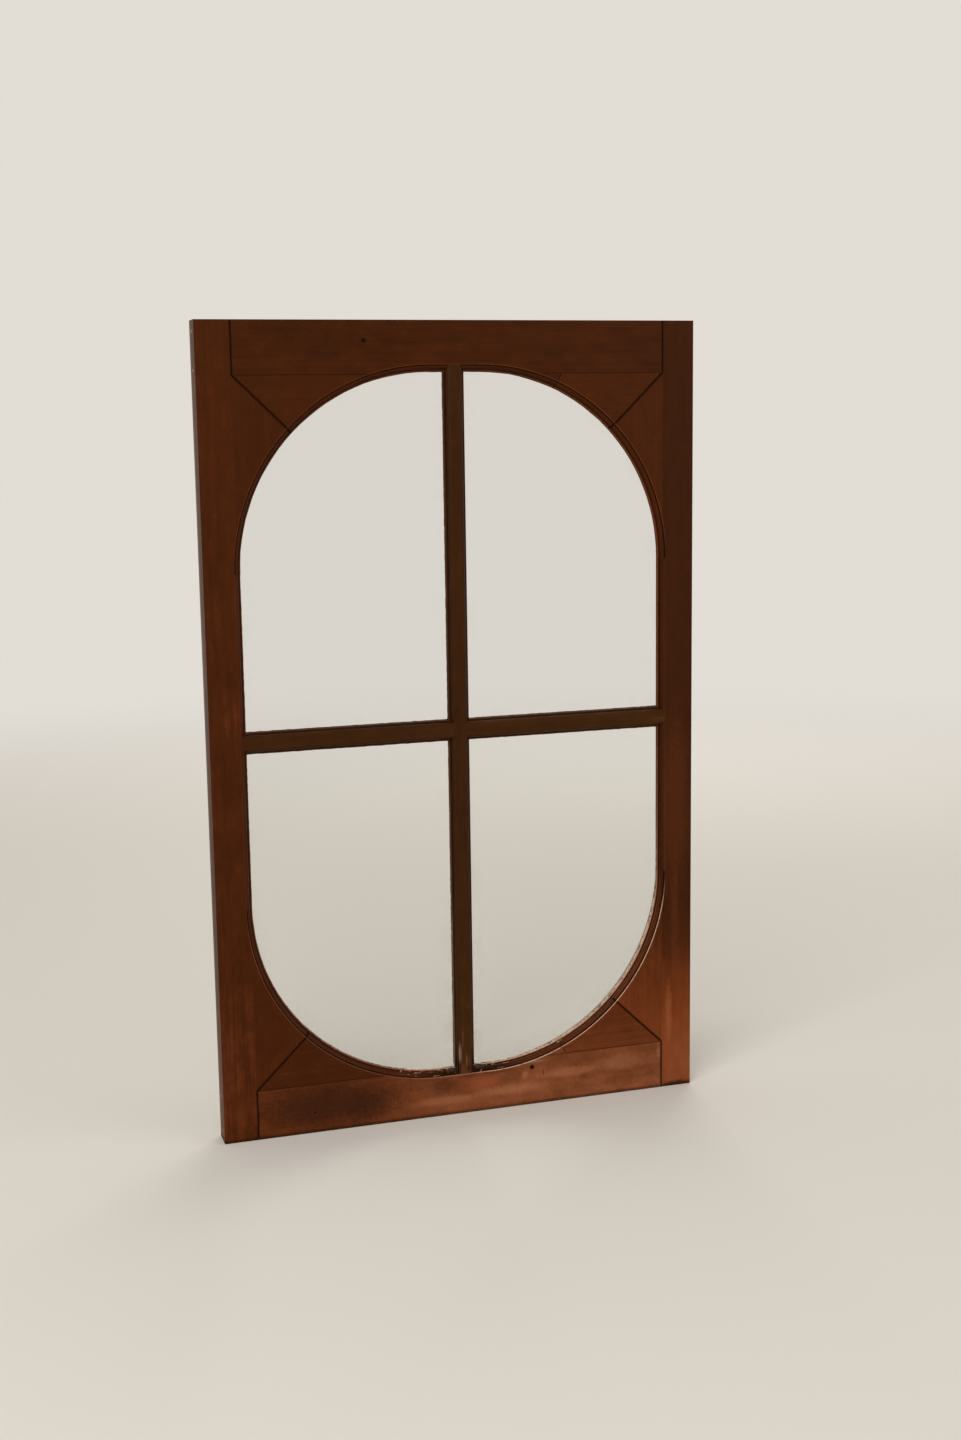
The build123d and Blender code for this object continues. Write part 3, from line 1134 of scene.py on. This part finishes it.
@dataclass(frozen=True)
class BeddingPutty:
    """Old bedding putty at the sight line: varnished over, but cream where it has crumbled; the cream is
    kept low and to the right as painted highlight.
    """

    name: str
    lines: WindowLines
    shift: float
    cream: Colour = srgb(224, 200, 174)
    clay: Colour = srgb(150, 108, 80)
    varnished: Colour = srgb(52, 28, 15)

    def material(self) -> bpy.types.Material:
        """Builds the material.

        Returns:
            The material.
        """
        bench = ShaderBench.for_material(self.name)
        place = bench.place()
        x, _, z = bench.parts(place)
        up = z - self.lines.middle
        along_frame = bench.rise(self.lines.beyond_sight(bench, x, up), -9, -4)
        # painted highlight: cream only low down, and more on the right
        low = bench.rise(up, -120, -330)
        painted_lit_side = bench.rise(x, -96, -84) * 0.6 + 0.4
        crumbs = bench.noise(place, 240, self.shift, 4, 0.65)
        broken = along_frame * low * painted_lit_side * bench.rise(crumbs, 0.38, 0.50)
        bare = (broken + bench.rise(crumbs, 0.62, 0.70) * 0.35).at_most(1)
        old = bench.ramp(crumbs, [(0.40, self.clay), (0.58, self.cream)])
        shader = bench.principled(
            Base_Color=bench.blend(bare, self.varnished, old),
            Roughness=0.6 + bare * 0.3,
            Normal=bench.bump(crumbs, 0.6, 0.4),
        )
        return bench.surface(shader)


@dataclass(frozen=True)
class TornFibres:
    """Bare torn fibres with varnish left on some of them."""

    name: str
    bare: Colour
    varnished: Colour = srgb(92, 46, 24)

    def material(self) -> bpy.types.Material:
        """Builds the material.

        Returns:
            The material.
        """
        bench = ShaderBench.for_material(self.name)
        place = bench.place()
        fibres = bench.noise(place, (220, 1400, 1400), 0, 3, 0.6)
        left = bench.rise(bench.noise(place, 320), 0.44, 0.56)
        colour = bench.blend(left, bench.blend(fibres, self.bare, self.varnished), self.varnished)
        shader = bench.principled(
            Base_Color=colour, Roughness=0.72 + fibres * 0.2, Normal=bench.bump(fibres, 0.6, 0.2)
        )
        return bench.surface(shader)


@dataclass(frozen=True)
class PackedDirt:
    """Black, crumbly dirt with a few pale flecks."""

    name: str
    soot: Colour = srgb(26, 14, 8)
    earth: Colour = srgb(66, 40, 24)
    fleck: Colour = srgb(196, 176, 150)

    def material(self) -> bpy.types.Material:
        """Builds the material.

        Returns:
            The material.
        """
        bench = ShaderBench.for_material(self.name)
        place = bench.place()
        crumbs = bench.noise(place, 700, 0, 4, 0.65)
        flecks = bench.noise(place, 1100, 4.1, 1)
        colour = bench.ramp(crumbs, [(0.38, self.soot), (0.66, self.earth)])
        colour = bench.blend(bench.rise(flecks, 0.70, 0.76) * 0.7, colour, self.fleck)
        shader = bench.principled(Base_Color=colour, Roughness=0.95, Normal=bench.bump(crumbs, 0.8, 0.5))
        return bench.surface(shader)


class DressedFrame:
    """The window's own solids, each with the finish of the piece that it is."""

    def __init__(self, lines: WindowLines) -> None:
        """Keeps the window's lines for the finishes."""
        self.lines = lines

    def dress(self) -> None:
        """Gives every solid its material."""
        timbers = self._stiles() | self._rails() | self._bars() | self._blocks()
        for node, timber in timbers.items():
            self.assign(node, timber.material())
        self.assign("tenon_wedges", EndGrainOak().material())
        self.assign("glazing_sprigs", DullSteel().material())
        for number, corner in enumerate(CORNERS):
            glass = WindowGlass(f"glass_{corner}", self.lines, shift=2.9 * number)
            putty = OldPutty(f"putty_{corner}_dry", shift=3.7 * number)
            self.assign(f"pane_{corner}", glass.material())
            self.assign(f"putty_{corner}", putty.material())

    @staticmethod
    def assign(node: str, material: bpy.types.Material) -> None:
        """Puts a material in every slot of a solid.

        Args:
            node: Name of the solid.
            material: What it is dressed in.
        """
        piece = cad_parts[node]
        for slot in piece.material_slots:
            slot.material = material
        if not piece.material_slots:
            piece.data.materials.append(material)
        log.info("dressed %s in %s", node, material.name)

    def _timber(self, name: str, grain: Grain, edge: Edge = Edge.OPENING, **figure: object) -> Timber:
        """Gives a varnished timber with this grain, edge and figure."""
        return Timber(name=f"{name}_varnish", grain=grain, edge=edge, lines=self.lines, **figure)

    def _stiles(self) -> dict[str, Timber]:
        """Gives the finishes of the stiles. The right one is painted dark above as shade and lighter low
        down as painted light; the left one is set darker as painted shade.

        Returns:
            The finishes by solid.
        """
        marks = (
            Blemish((312, -120), (30, 170), srgb(98, 48, 22), 0.3, streaky=False),
            Blemish((303, -430), (7, 60), srgb(150, 84, 50), 0.5),
            Blemish((312, -300), (9, 120), srgb(128, 66, 38), 0.15),
            Blemish((316, -536), (34, 8), srgb(34, 16, 8), 0.75, streaky=False),
        )
        return {
            "right_stile": self._timber(
                "stile_right", Grain.UPRIGHT, shift=3.1, tone=-0.28, lower_glow=0.5,
                pith_side=320, bleach=0.3, contrast=0.45, blemishes=marks,
            ),
            "left_stile": self._timber(
                "stile_left", Grain.UPRIGHT, shift=11.7, tone=-0.15, lower_glow=0.1,
                pith_side=-300, bleach=0.1,
            ),
        }

    def _rails(self) -> dict[str, Timber]:
        """Gives the finishes of the rails. The bottom one is bleached, blotched and knotty; the top one is
        set darker as painted shade.

        Returns:
            The finishes by solid.
        """
        return {
            "bottom_rail": self._timber(
                "rail_bottom", Grain.LEVEL, shift=6.9, tone=-0.09, lower_glow=0.07,
                pith_side=-560, bleach=0.9, contrast=0.4, blemishes=self._rail_marks(),
                knots=(Knot((96.3, -483.7), 2.7), Knot((-214, -509), 1.3)),
            ),
            "top_rail": self._timber(
                "rail_top", Grain.LEVEL, shift=17.9, tone=-0.24, lower_glow=0.0,
                pith_side=520, knots=(Knot((-121, 512), 3.1),),
            ),
        }

    def _bars(self) -> dict[str, Timber]:
        """Gives the finishes of the glazing bars, more olive than the frame; the upright one is painted
        lighter towards its foot as painted light.

        Returns:
            The finishes by solid.
        """
        # the bars' moulding colour is their ovolo's painted shade
        olive = TimberColours(
            dark=srgb(58, 31, 9), warm=srgb(96, 54, 24), light=srgb(126, 76, 40), moulding=srgb(46, 26, 12)
        )
        return {
            "vertical_bar": self._timber(
                "bar_upright", Grain.UPRIGHT, Edge.UPRIGHT_BAR, shift=23.3, tone=-0.25, lower_glow=0.17,
                pith_side=6, bleach=0.2, blemishes=self._bar_foot_marks(), colours=olive,
            ),
            "right_cross_bar": self._timber(
                "bar_right", Grain.LEVEL, Edge.CROSS_BAR, shift=29.1, tone=-0.16, lower_glow=0.0,
                pith_side=3, colours=olive,
            ),
            "left_cross_bar": self._timber(
                "bar_left", Grain.LEVEL, Edge.CROSS_BAR, shift=33.8, tone=-0.22, lower_glow=0.0,
                pith_side=-4, colours=olive,
            ),
        }

    def _blocks(self) -> dict[str, Timber]:
        """Gives the finishes of the corner blocks, painted darker on the left and in the head as painted
        shade, and lighter at the bottom right as painted light.

        Returns:
            The finishes by solid.
        """
        # painted shade: darker tones on the left and in the head
        tones = {"bottom_right": -0.12, "bottom_left": -0.18, "top_right": -0.16, "top_left": -0.21}
        made = {}
        for number, corner in enumerate(CORNERS):
            # painted light: the bottom right blocks grow lighter towards the foot
            glow = 0.24 if corner == "bottom_right" else 0.06
            made[f"stile_block_{corner}"] = self._timber(
                f"block_stile_{corner}", Grain.UPRIGHT, shift=37.7 + 6.1 * number, tone=tones[corner],
                lower_glow=glow, pith_side=250, bleach=0.2, contrast=0.5,
            )
            made[f"rail_block_{corner}"] = self._timber(
                f"block_rail_{corner}", Grain.LEVEL, shift=61.3 + 5.9 * number, tone=tones[corner],
                lower_glow=glow * 0.6, pith_side=-430, bleach=0.25, contrast=0.5,
            )
        return made

    @staticmethod
    def _rail_marks() -> tuple[Blemish, ...]:
        """Gives the bleached streaks, haze and dark patches along the bottom rail; the two wide dark patches
        on its left are painted shade.

        Returns:
            The marks, the first lying lowest.
        """
        sun = srgb(172, 112, 80)
        haze = srgb(138, 118, 96)
        stain_and_shade = srgb(44, 21, 11)
        soot = srgb(26, 13, 8)
        return (
            Blemish((150, -497), (60, 9), sun, 0.45),
            Blemish((232, -492), (50, 16), sun, 0.3, streaky=False),
            Blemish((60, -512), (70, 10), sun, 0.45),
            Blemish((-30, -516), (60, 9), sun, 0.35),
            Blemish((86, -494), (7, 9), sun, 0.5),
            Blemish((22, -498), (40, 15), srgb(158, 80, 50), 0.4, streaky=False),
            Blemish((102, -476), (24, 3), haze, 0.45, streaky=False),
            Blemish((96.3, -484.2), (5.5, 5), soot, 0.8, streaky=False),
            Blemish((112.9, -493.6), (1.1, 5.5), soot, 0.9, streaky=False),
            Blemish((2, -485), (21, 6), stain_and_shade, 0.3),
            Blemish((-32, -495), (24, 15), stain_and_shade, 0.55),
            Blemish((44, -484), (26, 5), stain_and_shade, 0.35),
            # painted shade: these two wide dark patches darken the left of the rail
            Blemish((-195, -500), (135, 46), stain_and_shade, 0.75, streaky=False),
            Blemish((-140, -512), (42, 30), stain_and_shade, 0.4, streaky=False),
            Blemish((288, -486), (5, 14), sun, 0.3),
        )

    @staticmethod
    def _bar_foot_marks() -> tuple[Blemish, ...]:
        """Gives the scuffs and pale streaks low down on the upright bar.

        Returns:
            The marks, the first lying lowest.
        """
        return (
            Blemish((-8.5, -452), (2.6, 19), srgb(196, 170, 148), 0.75),
            Blemish((1.2, -463), (1.0, 12), srgb(150, 104, 76), 0.6, streaky=False),
            Blemish((4, -474), (5, 7), srgb(24, 12, 7), 0.7),
            Blemish((-4, -430), (1.4, 16), srgb(118, 72, 44), 0.45, streaky=False),
        )


class Handwork:
    """Starts and finishes small pieces with Blender's own modelling tools."""

    @staticmethod
    def start(add: Callable, **settings: object) -> bpy.types.Object:
        """Adds a primitive with nothing else selected, its place already in its mesh.

        Args:
            add: The operator that adds it.
            settings: The operator's settings.

        Returns:
            The new object.
        """
        bpy.ops.object.select_all(action="DESELECT")
        add(**settings)
        bpy.ops.object.transform_apply(location=True, rotation=True, scale=True)
        return bpy.context.object

    @staticmethod
    def only(piece: bpy.types.Object) -> None:
        """Makes a piece the one that is selected and active.

        Args:
            piece: The piece.
        """
        bpy.ops.object.select_all(action="DESELECT")
        piece.select_set(True)
        bpy.context.view_layer.objects.active = piece

    @classmethod
    def edit(cls, piece: bpy.types.Object) -> None:
        """Goes into edit mode on a piece, with all of it selected.

        Args:
            piece: The piece.
        """
        cls.only(piece)
        bpy.ops.object.mode_set(mode="EDIT")
        bpy.ops.mesh.select_mode(type="VERT")
        bpy.ops.mesh.select_all(action="SELECT")

    @staticmethod
    def leave() -> None:
        """Turns all faces outwards and leaves edit mode."""
        bpy.ops.mesh.select_all(action="SELECT")
        bpy.ops.mesh.normals_make_consistent(inside=False)
        bpy.ops.object.mode_set(mode="OBJECT")

    @staticmethod
    def pick(piece: bpy.types.Object, test: Callable[[Vector], bool]) -> None:
        """Selects some of a piece's vertices, in edit mode.

        Args:
            piece: The piece.
            test: Says of a vertex's place whether it is wanted.
        """
        shape = bmesh.from_edit_mesh(piece.data)
        for vertex in shape.verts:
            vertex.select_set(test(vertex.co))
        shape.select_flush_mode()
        bmesh.update_edit_mesh(piece.data)

    @classmethod
    def duplicate(cls, piece: bpy.types.Object) -> bpy.types.Object:
        """Copies a piece.

        Args:
            piece: The piece.

        Returns:
            The copy, with a mesh of its own.
        """
        cls.only(piece)
        bpy.ops.object.duplicate()
        return bpy.context.object

    @classmethod
    def roughen(cls, piece: bpy.types.Object, grain: float, strength: float) -> None:
        """Makes a surface lumpy.

        Args:
            piece: What is roughened.
            grain: Size of the lumps, in millimetres.
            strength: How far they stand out, in millimetres.
        """
        lumps = bpy.data.textures.new(f"{piece.name}_lumps", "CLOUDS")
        lumps.noise_scale = grain * MM
        cls.only(piece)
        bpy.ops.object.modifier_add(type="DISPLACE")
        modifier = piece.modifiers[-1]
        modifier.texture = lumps
        modifier.texture_coords = "LOCAL"
        modifier.strength = strength * MM
        modifier.mid_level = 0.5
        bpy.ops.object.modifier_apply(modifier=modifier.name)

    @classmethod
    def finish(cls, piece: bpy.types.Object, name: str, slot: str, material: bpy.types.Material) -> None:
        """Names, smooths and dresses a piece, and hangs it on the window's body.

        Args:
            piece: The piece.
            name: Its name.
            slot: Not used.
            material: What it is dressed in.
        """
        cls.only(piece)
        bpy.ops.object.shade_smooth()
        piece.name = piece.data.name = name
        piece.data.materials.clear()
        piece.data.materials.append(material)
        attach(piece, ROOT)
        log.info("built %s, %d faces", name, len(piece.data.polygons))


@dataclass(frozen=True)
class SightBeads:
    """Thin crumbly lines of old bedding putty, squeezed out between each pane and its sight edge.

    All sizes are in millimetres.

    Attributes:
        radius: Of the bead's section.
        inward: How far its middle stands out from the sight edge.
        depth: How far its middle lies behind the room face.
        corner: Radius of the sharp corners at the bars.
        step: Length of a piece of its straight runs.
        merge: How close together two points are one.
        lump: Size of its lumps.
        lump_height: How far they stand out.
    """

    lines: WindowLines
    radius: float = 0.75
    inward: float = 0.2
    depth: float = 11.2
    corner: float = 1.6
    step: float = 5.0
    merge: float = 0.02
    lump: float = 3.2
    lump_height: float = 1.1
    section_points: int = 8
    curve_steps: int = 28
    corner_steps: int = 4

    def build(self) -> None:
        """Builds the bead of every pane."""
        first = self._ring()
        beads = {"bottom_right": first}
        for corner in CORNERS[1:]:
            beads[corner] = self._mirrored(first, corner.endswith("left"), corner.startswith("top"))
        for number, (corner, bead) in enumerate(beads.items()):
            Handwork.roughen(bead, self.lump, self.lump_height)
            finish = BeddingPutty(f"sight_bead_{corner}_cream", self.lines, shift=5.3 * number)
            Handwork.finish(bead, f"sight_bead_{corner}", PUTTY_SLOT, finish.material())

    def _ring(self) -> bpy.types.Object:
        """Models the bead round the pane at the bottom right.

        Returns:
            The bead.
        """
        lines = self.lines
        side = lines.sight_x - self.inward
        foot = lines.middle - lines.sight_z + self.inward
        start = lines.middle - lines.arc_z
        bar = lines.bar_half + self.inward + self.corner
        top = lines.middle - bar
        bead = Handwork.start(
            bpy.ops.mesh.primitive_circle_add,
            vertices=self.section_points,
            radius=self.radius * MM,
            location=(side * MM, (lines.face + self.depth) * MM, start * MM),
        )
        Handwork.edit(bead)
        self._turn(self.curve_steps, lines.arc_x, start)
        self._run(bar - lines.arc_x, 0)
        self._turn(self.corner_steps, bar, foot + self.corner)
        self._run(0, top - foot - self.corner)
        self._turn(self.corner_steps, bar, top)
        self._run(side - self.corner - bar, 0)
        self._turn(self.corner_steps, side - self.corner, top)
        self._run(0, start - top)
        bpy.ops.mesh.select_all(action="SELECT")
        bpy.ops.mesh.remove_doubles(threshold=self.merge * MM)
        Handwork.leave()
        return bead

    def _turn(self, steps: int, x: float, z: float) -> None:
        """Spins the open end of the bead a quarter turn about a point of the window's plane."""
        centre = (x * MM, (self.lines.face + self.depth) * MM, z * MM)
        bpy.ops.mesh.spin(steps=steps, angle=-QUARTER_TURN, center=centre, axis=(0, 1, 0))

    def _run(self, across: float, up: float) -> None:
        """Draws the open end of the bead out straight, in short steps.

        Args:
            across: How far it goes across the window.
            up: How far it goes up.
        """
        steps = max(1, round(math.hypot(across, up) / self.step))
        move = (across / steps * MM, 0, up / steps * MM)
        for _ in range(steps):
            bpy.ops.mesh.extrude_region_move(TRANSFORM_OT_translate={"value": move})

    def _mirrored(self, bead: bpy.types.Object, to_left: bool, to_top: bool) -> bpy.types.Object:
        """Copies a bead into another corner of the window.

        Args:
            bead: The bead at the bottom right.
            to_left: Whether the copy goes to the left.
            to_top: Whether the copy goes to the top.

        Returns:
            The copy.
        """
        copy = Handwork.duplicate(bead)
        Handwork.edit(copy)
        flips = (-1 if to_left else 1, 1, -1 if to_top else 1)
        bpy.ops.transform.resize(value=flips, center_override=(0, 0, self.lines.middle * MM))
        Handwork.leave()
        return copy


@dataclass(frozen=True)
class Splinter:
    """A fibre or flake that stands off the moulding.

    Its middle lies this far across the window and outwards from the lower sight line, in
    millimetres. The turn is against the line of the moulding and the lift against its face, in
    degrees.
    """

    x: float
    offset: float
    length: float
    thickness: float
    turn: float = 0.0
    lift: float = 6.0


@dataclass(frozen=True)
class BrokenMoulding:
    """Fibres, flakes and chips where the lower moulding is knocked about, in millimetres.

    Each is drawn out of a cube in three lengthenings, given as shares of its length.
    """

    lines: WindowLines
    left_run: tuple[Splinter, ...] = (
        Splinter(-91.0, 1.8, 7.5, 2.4, 64, 5),
        Splinter(-86.5, 5.2, 11.0, 1.8, 8),
        Splinter(-80.0, 1.2, 8.0, 1.6, -9),
        Splinter(-74.0, 6.6, 12.0, 1.3, 5),
        Splinter(-67.5, 3.0, 9.0, 2.1, 12),
        Splinter(-60.0, 1.0, 7.0, 1.5, -7),
        Splinter(-55.0, 5.6, 12.5, 1.4, -4),
        Splinter(-47.5, 2.4, 8.5, 2.2, 15),
        Splinter(-41.0, 6.9, 9.0, 1.3, 3),
        Splinter(-35.5, 1.4, 7.5, 1.7, -12),
        Splinter(-29.0, 4.8, 8.0, 1.8, 9),
        Splinter(-22.5, 2.0, 6.0, 2.0, -16),
        Splinter(-17.5, 6.0, 6.5, 1.5, 22),
    )
    right_run: tuple[Splinter, ...] = (
        Splinter(21.9, 8.0, 4.6, 1.9, 78, 12),
        Splinter(28.5, 2.2, 7.5, 1.6, 9),
        Splinter(35.0, 5.6, 9.0, 1.3, -6),
        Splinter(43.5, 1.6, 7.0, 1.4, 7),
        Splinter(51.0, 6.8, 8.0, 1.1, -3),
        Splinter(60.5, 3.0, 9.0, 1.3, 5),
        Splinter(137.0, 1.2, 5.0, 2.6, 70, 10),
        Splinter(141.2, 2.4, 8.5, 1.5, 18, 12),
        Splinter(133.0, 5.4, 9.5, 1.0, -5),
    )
    lengthenings: tuple[float, ...] = (0.25, 0.35, 0.4)
    lump: float = 1.4
    lump_height: float = 0.9

    def build(self) -> None:
        """Builds both runs, each as one piece."""
        for name, run, fibre in (
            ("moulding_splinters_left", self.left_run, srgb(208, 160, 130)),
            ("moulding_splinters_right", self.right_run, srgb(224, 190, 160)),
        ):
            pieces = [self._splinter(splinter) for splinter in run]
            Handwork.only(pieces[0])
            for piece in pieces:
                piece.select_set(True)
            bpy.ops.object.join()
            material = TornFibres(f"{name}_fibres", fibre).material()
            Handwork.finish(bpy.context.object, name, TIMBER_SLOT, material)

    def _splinter(self, splinter: Splinter) -> bpy.types.Object:
        """Models one splinter: a bar drawn out to a ragged point, laid on the moulding.

        Args:
            splinter: Its size and place.

        Returns:
            The splinter.
        """
        lines = self.lines
        piece = Handwork.start(bpy.ops.mesh.primitive_cube_add, size=splinter.thickness * MM)
        half = splinter.thickness * MM / 2
        Handwork.edit(piece)
        Handwork.pick(piece, lambda place: place.x > half * 0.9)
        for share in self.lengthenings:
            move = (splinter.length * share * MM, 0, 0)
            bpy.ops.mesh.extrude_region_move(TRANSFORM_OT_translate={"value": move})
            bpy.ops.transform.resize(value=(1, 0.75 - share * 0.6, 0.85 - share))
        bpy.ops.mesh.select_all(action="SELECT")
        bpy.ops.mesh.subdivide(number_cuts=2, smoothness=0.4)
        bpy.ops.transform.translate(value=(-splinter.length / 2 * MM, 0, 0))
        Handwork.leave()
        slope = math.radians(lines.sight_slope(splinter.x) + splinter.turn)
        piece.rotation_euler = (0, -slope, -math.radians(splinter.lift))
        depth = lines.face + lines.moulding_depth(splinter.offset)
        up = lines.middle - lines.sight_height(splinter.x) - splinter.offset
        piece.location = (splinter.x * MM, depth * MM, up * MM)
        Handwork.only(piece)
        bpy.ops.object.transform_apply(location=True, rotation=True, scale=True)
        Handwork.roughen(piece, self.lump, self.lump_height)
        return piece


@dataclass(frozen=True)
class FootDirt:
    """Packed dirt in the corners between the upright bar's foot and the lower moulding.

    All sizes are in millimetres. Length, height and thickness are half of the heap's own. The
    steepness is the share of its length that is left on the bar's side, and the standoff the share
    at which its middle stands off the bar.
    """

    lines: WindowLines
    length: float = 14.0
    height: float = 3.6
    thickness: float = 4.2
    steepness: float = 0.35
    standoff: float = 0.3
    lump: float = 1.6
    lump_height: float = 1.4

    def build(self) -> None:
        """Builds the heap on each side of the bar, the left one smaller."""
        self._heap("foot_dirt_right", 1, 1.0)
        self._heap("foot_dirt_left", -1, 0.75)

    def _heap(self, name: str, side: int, share: float) -> None:
        """Models one heap, steep towards the bar and drawn out away from it.

        Args:
            name: Its name.
            side: 1 on the right of the bar, -1 on the left.
            share: Its size, as a share of the full one.
        """
        lines = self.lines
        heap = Handwork.start(
            bpy.ops.mesh.primitive_uv_sphere_add, segments=32, ring_count=16, radius=1 * MM
        )
        Handwork.edit(heap)
        bpy.ops.transform.resize(value=(self.length * share, self.thickness, self.height * share))
        Handwork.pick(heap, lambda place: place.x * side < 0)
        bpy.ops.transform.resize(value=(self.steepness, 1, 1), center_override=(0, 0, 0))
        bpy.ops.mesh.select_all(action="SELECT")
        middle_x = side * (lines.bar_half + self.length * share * self.standoff)
        depth = lines.face + lines.fillet_depth
        up = lines.middle - lines.sight_z - lines.fillet
        bpy.ops.transform.translate(value=(middle_x * MM, depth * MM, up * MM))
        Handwork.leave()
        Handwork.roughen(heap, self.lump, self.lump_height)
        Handwork.finish(heap, name, TIMBER_SLOT, PackedDirt(f"{name}_soot").material())


@dataclass(frozen=True)
class Lamp:
    """A square soft lamp that points at the middle of the window, in metres and watts."""

    name: str
    place: tuple[float, float, float]
    power: float
    size: float = 2.4
    target: tuple[float, float, float] = (0, 0, 0.5)

    def build(self) -> None:
        """Adds the lamp."""
        lamp = bpy.data.lights.new(self.name, "AREA")
        lamp.shape = "SQUARE"
        lamp.size = self.size
        lamp.energy = self.power
        holder = bpy.data.objects.new(self.name, lamp)
        bpy.context.scene.collection.objects.link(holder)
        holder.location = self.place
        aim = Vector(self.target) - Vector(self.place)
        holder.rotation_mode = "QUATERNION"
        holder.rotation_quaternion = aim.to_track_quat("-Z", "Y")


@dataclass(frozen=True)
class Studio:
    """A plain pale floor and soft lamps, at a level where colours render as they are written.

    The floor is matt up to the near distance and glows like the surroundings from the far one, in
    metres.
    """

    floor_size: float = 60.0
    near: float = 1.6
    far: float = 4.2
    pale: Colour = srgb(226, 221, 213)
    skylight: float = 0.6
    lamps: tuple[Lamp, ...] = (
        Lamp("key", (-2.3, -2.7, 2.5), 92),
        Lamp("fill", (2.8, -2.4, 1.4), 24),
        Lamp("back", (1.6, 3.0, 2.6), 50),
    )

    def build(self) -> None:
        """Makes the floor, the surroundings and the lamps."""
        self._floor()
        self._surroundings()
        for lamp in self.lamps:
            lamp.build()

    def _floor(self) -> None:
        """Makes the floor, which fades into the surroundings so that no horizon shows."""
        bpy.ops.object.select_all(action="DESELECT")
        bpy.ops.mesh.primitive_plane_add(size=self.floor_size, location=(0, 0, 0))
        floor = bpy.context.object
        floor.name = "studio_floor"
        bench = ShaderBench.for_material("studio_pale_floor")
        x, y, _ = bench.parts(bench.place())
        away = bench.rise(bench.length(x, y), self.near * PER_METRE, self.far * PER_METRE)
        matt = bench.node("ShaderNodeBsdfDiffuse", None, {"Color": self.pale})
        glow = bench.node("ShaderNodeEmission", None, {"Color": self.pale, "Strength": 1.0})
        mixed = bench.node("ShaderNodeMixShader", None, {0: away, 1: matt, 2: glow})
        floor.data.materials.append(bench.surface(mixed))
        log.info("built %s", floor.name)

    def _surroundings(self) -> None:
        """Makes the pale surroundings, dimmer as a light than to the eye."""
        bench = ShaderBench(bpy.data.worlds.new("studio_surroundings"))
        path = bench.node("ShaderNodeLightPath")
        kinds = ("Is Camera Ray", "Is Glossy Ray", "Is Transmission Ray")
        camera, glossy, transmission = bench.other_outputs(path, kinds)
        seen = camera.at_least(glossy).at_least(transmission)
        strength = self.skylight + seen * (1 - self.skylight)
        glow = bench.node("ShaderNodeBackground", None, {"Color": self.pale, "Strength": strength})
        bpy.context.scene.world = bench.surface(glow)


@dataclass(frozen=True)
class Viewpoint:
    """The camera, a little to the left of the window and above its middle.

    The place is in metres, the turns in radians, and the lens and sensor in millimetres.
    """

    place: tuple[float, float, float] = (-0.6937, -2.3092, 0.9458)
    yaw: float = math.radians(17.482)
    pitch: float = math.radians(9.344)
    roll: float = math.radians(0.827)
    lens: float = 45.33
    sensor: float = 36.0

    def build(self) -> None:
        """Adds the camera and makes it the scene's own."""
        data = bpy.data.cameras.new("viewpoint")
        data.lens = self.lens
        data.sensor_width = self.sensor
        data.sensor_fit = "AUTO"
        holder = bpy.data.objects.new("viewpoint", data)
        bpy.context.scene.collection.objects.link(holder)
        holder.matrix_world = Matrix.Translation(self.place) @ self._turned()
        bpy.context.scene.camera = holder

    def _turned(self) -> Matrix:
        """Works out which way the camera looks.

        Returns:
            Its turn as a matrix.
        """
        level = math.cos(self.pitch)
        forward = Vector((math.sin(self.yaw) * level, math.cos(self.yaw) * level, -math.sin(self.pitch)))
        level_right = Vector((math.cos(self.yaw), -math.sin(self.yaw), 0))
        level_down = forward.cross(level_right)
        right = level_right * math.cos(self.roll) + level_down * math.sin(self.roll)
        down = level_down * math.cos(self.roll) - level_right * math.sin(self.roll)
        return Matrix((right, -down, -forward)).transposed().to_4x4()


def main() -> None:
    """Builds everything in order."""
    logging.basicConfig(level=logging.INFO, format="%(message)s")
    bpy.context.scene.view_settings.view_transform = "Standard"
    lines = WindowLines.from_frame()
    DressedFrame(lines).dress()
    SightBeads(lines).build()
    BrokenMoulding(lines).build()
    FootDirt(lines).build()
    Studio().build()
    Viewpoint().build()


if __name__ == "__main__":
    main()
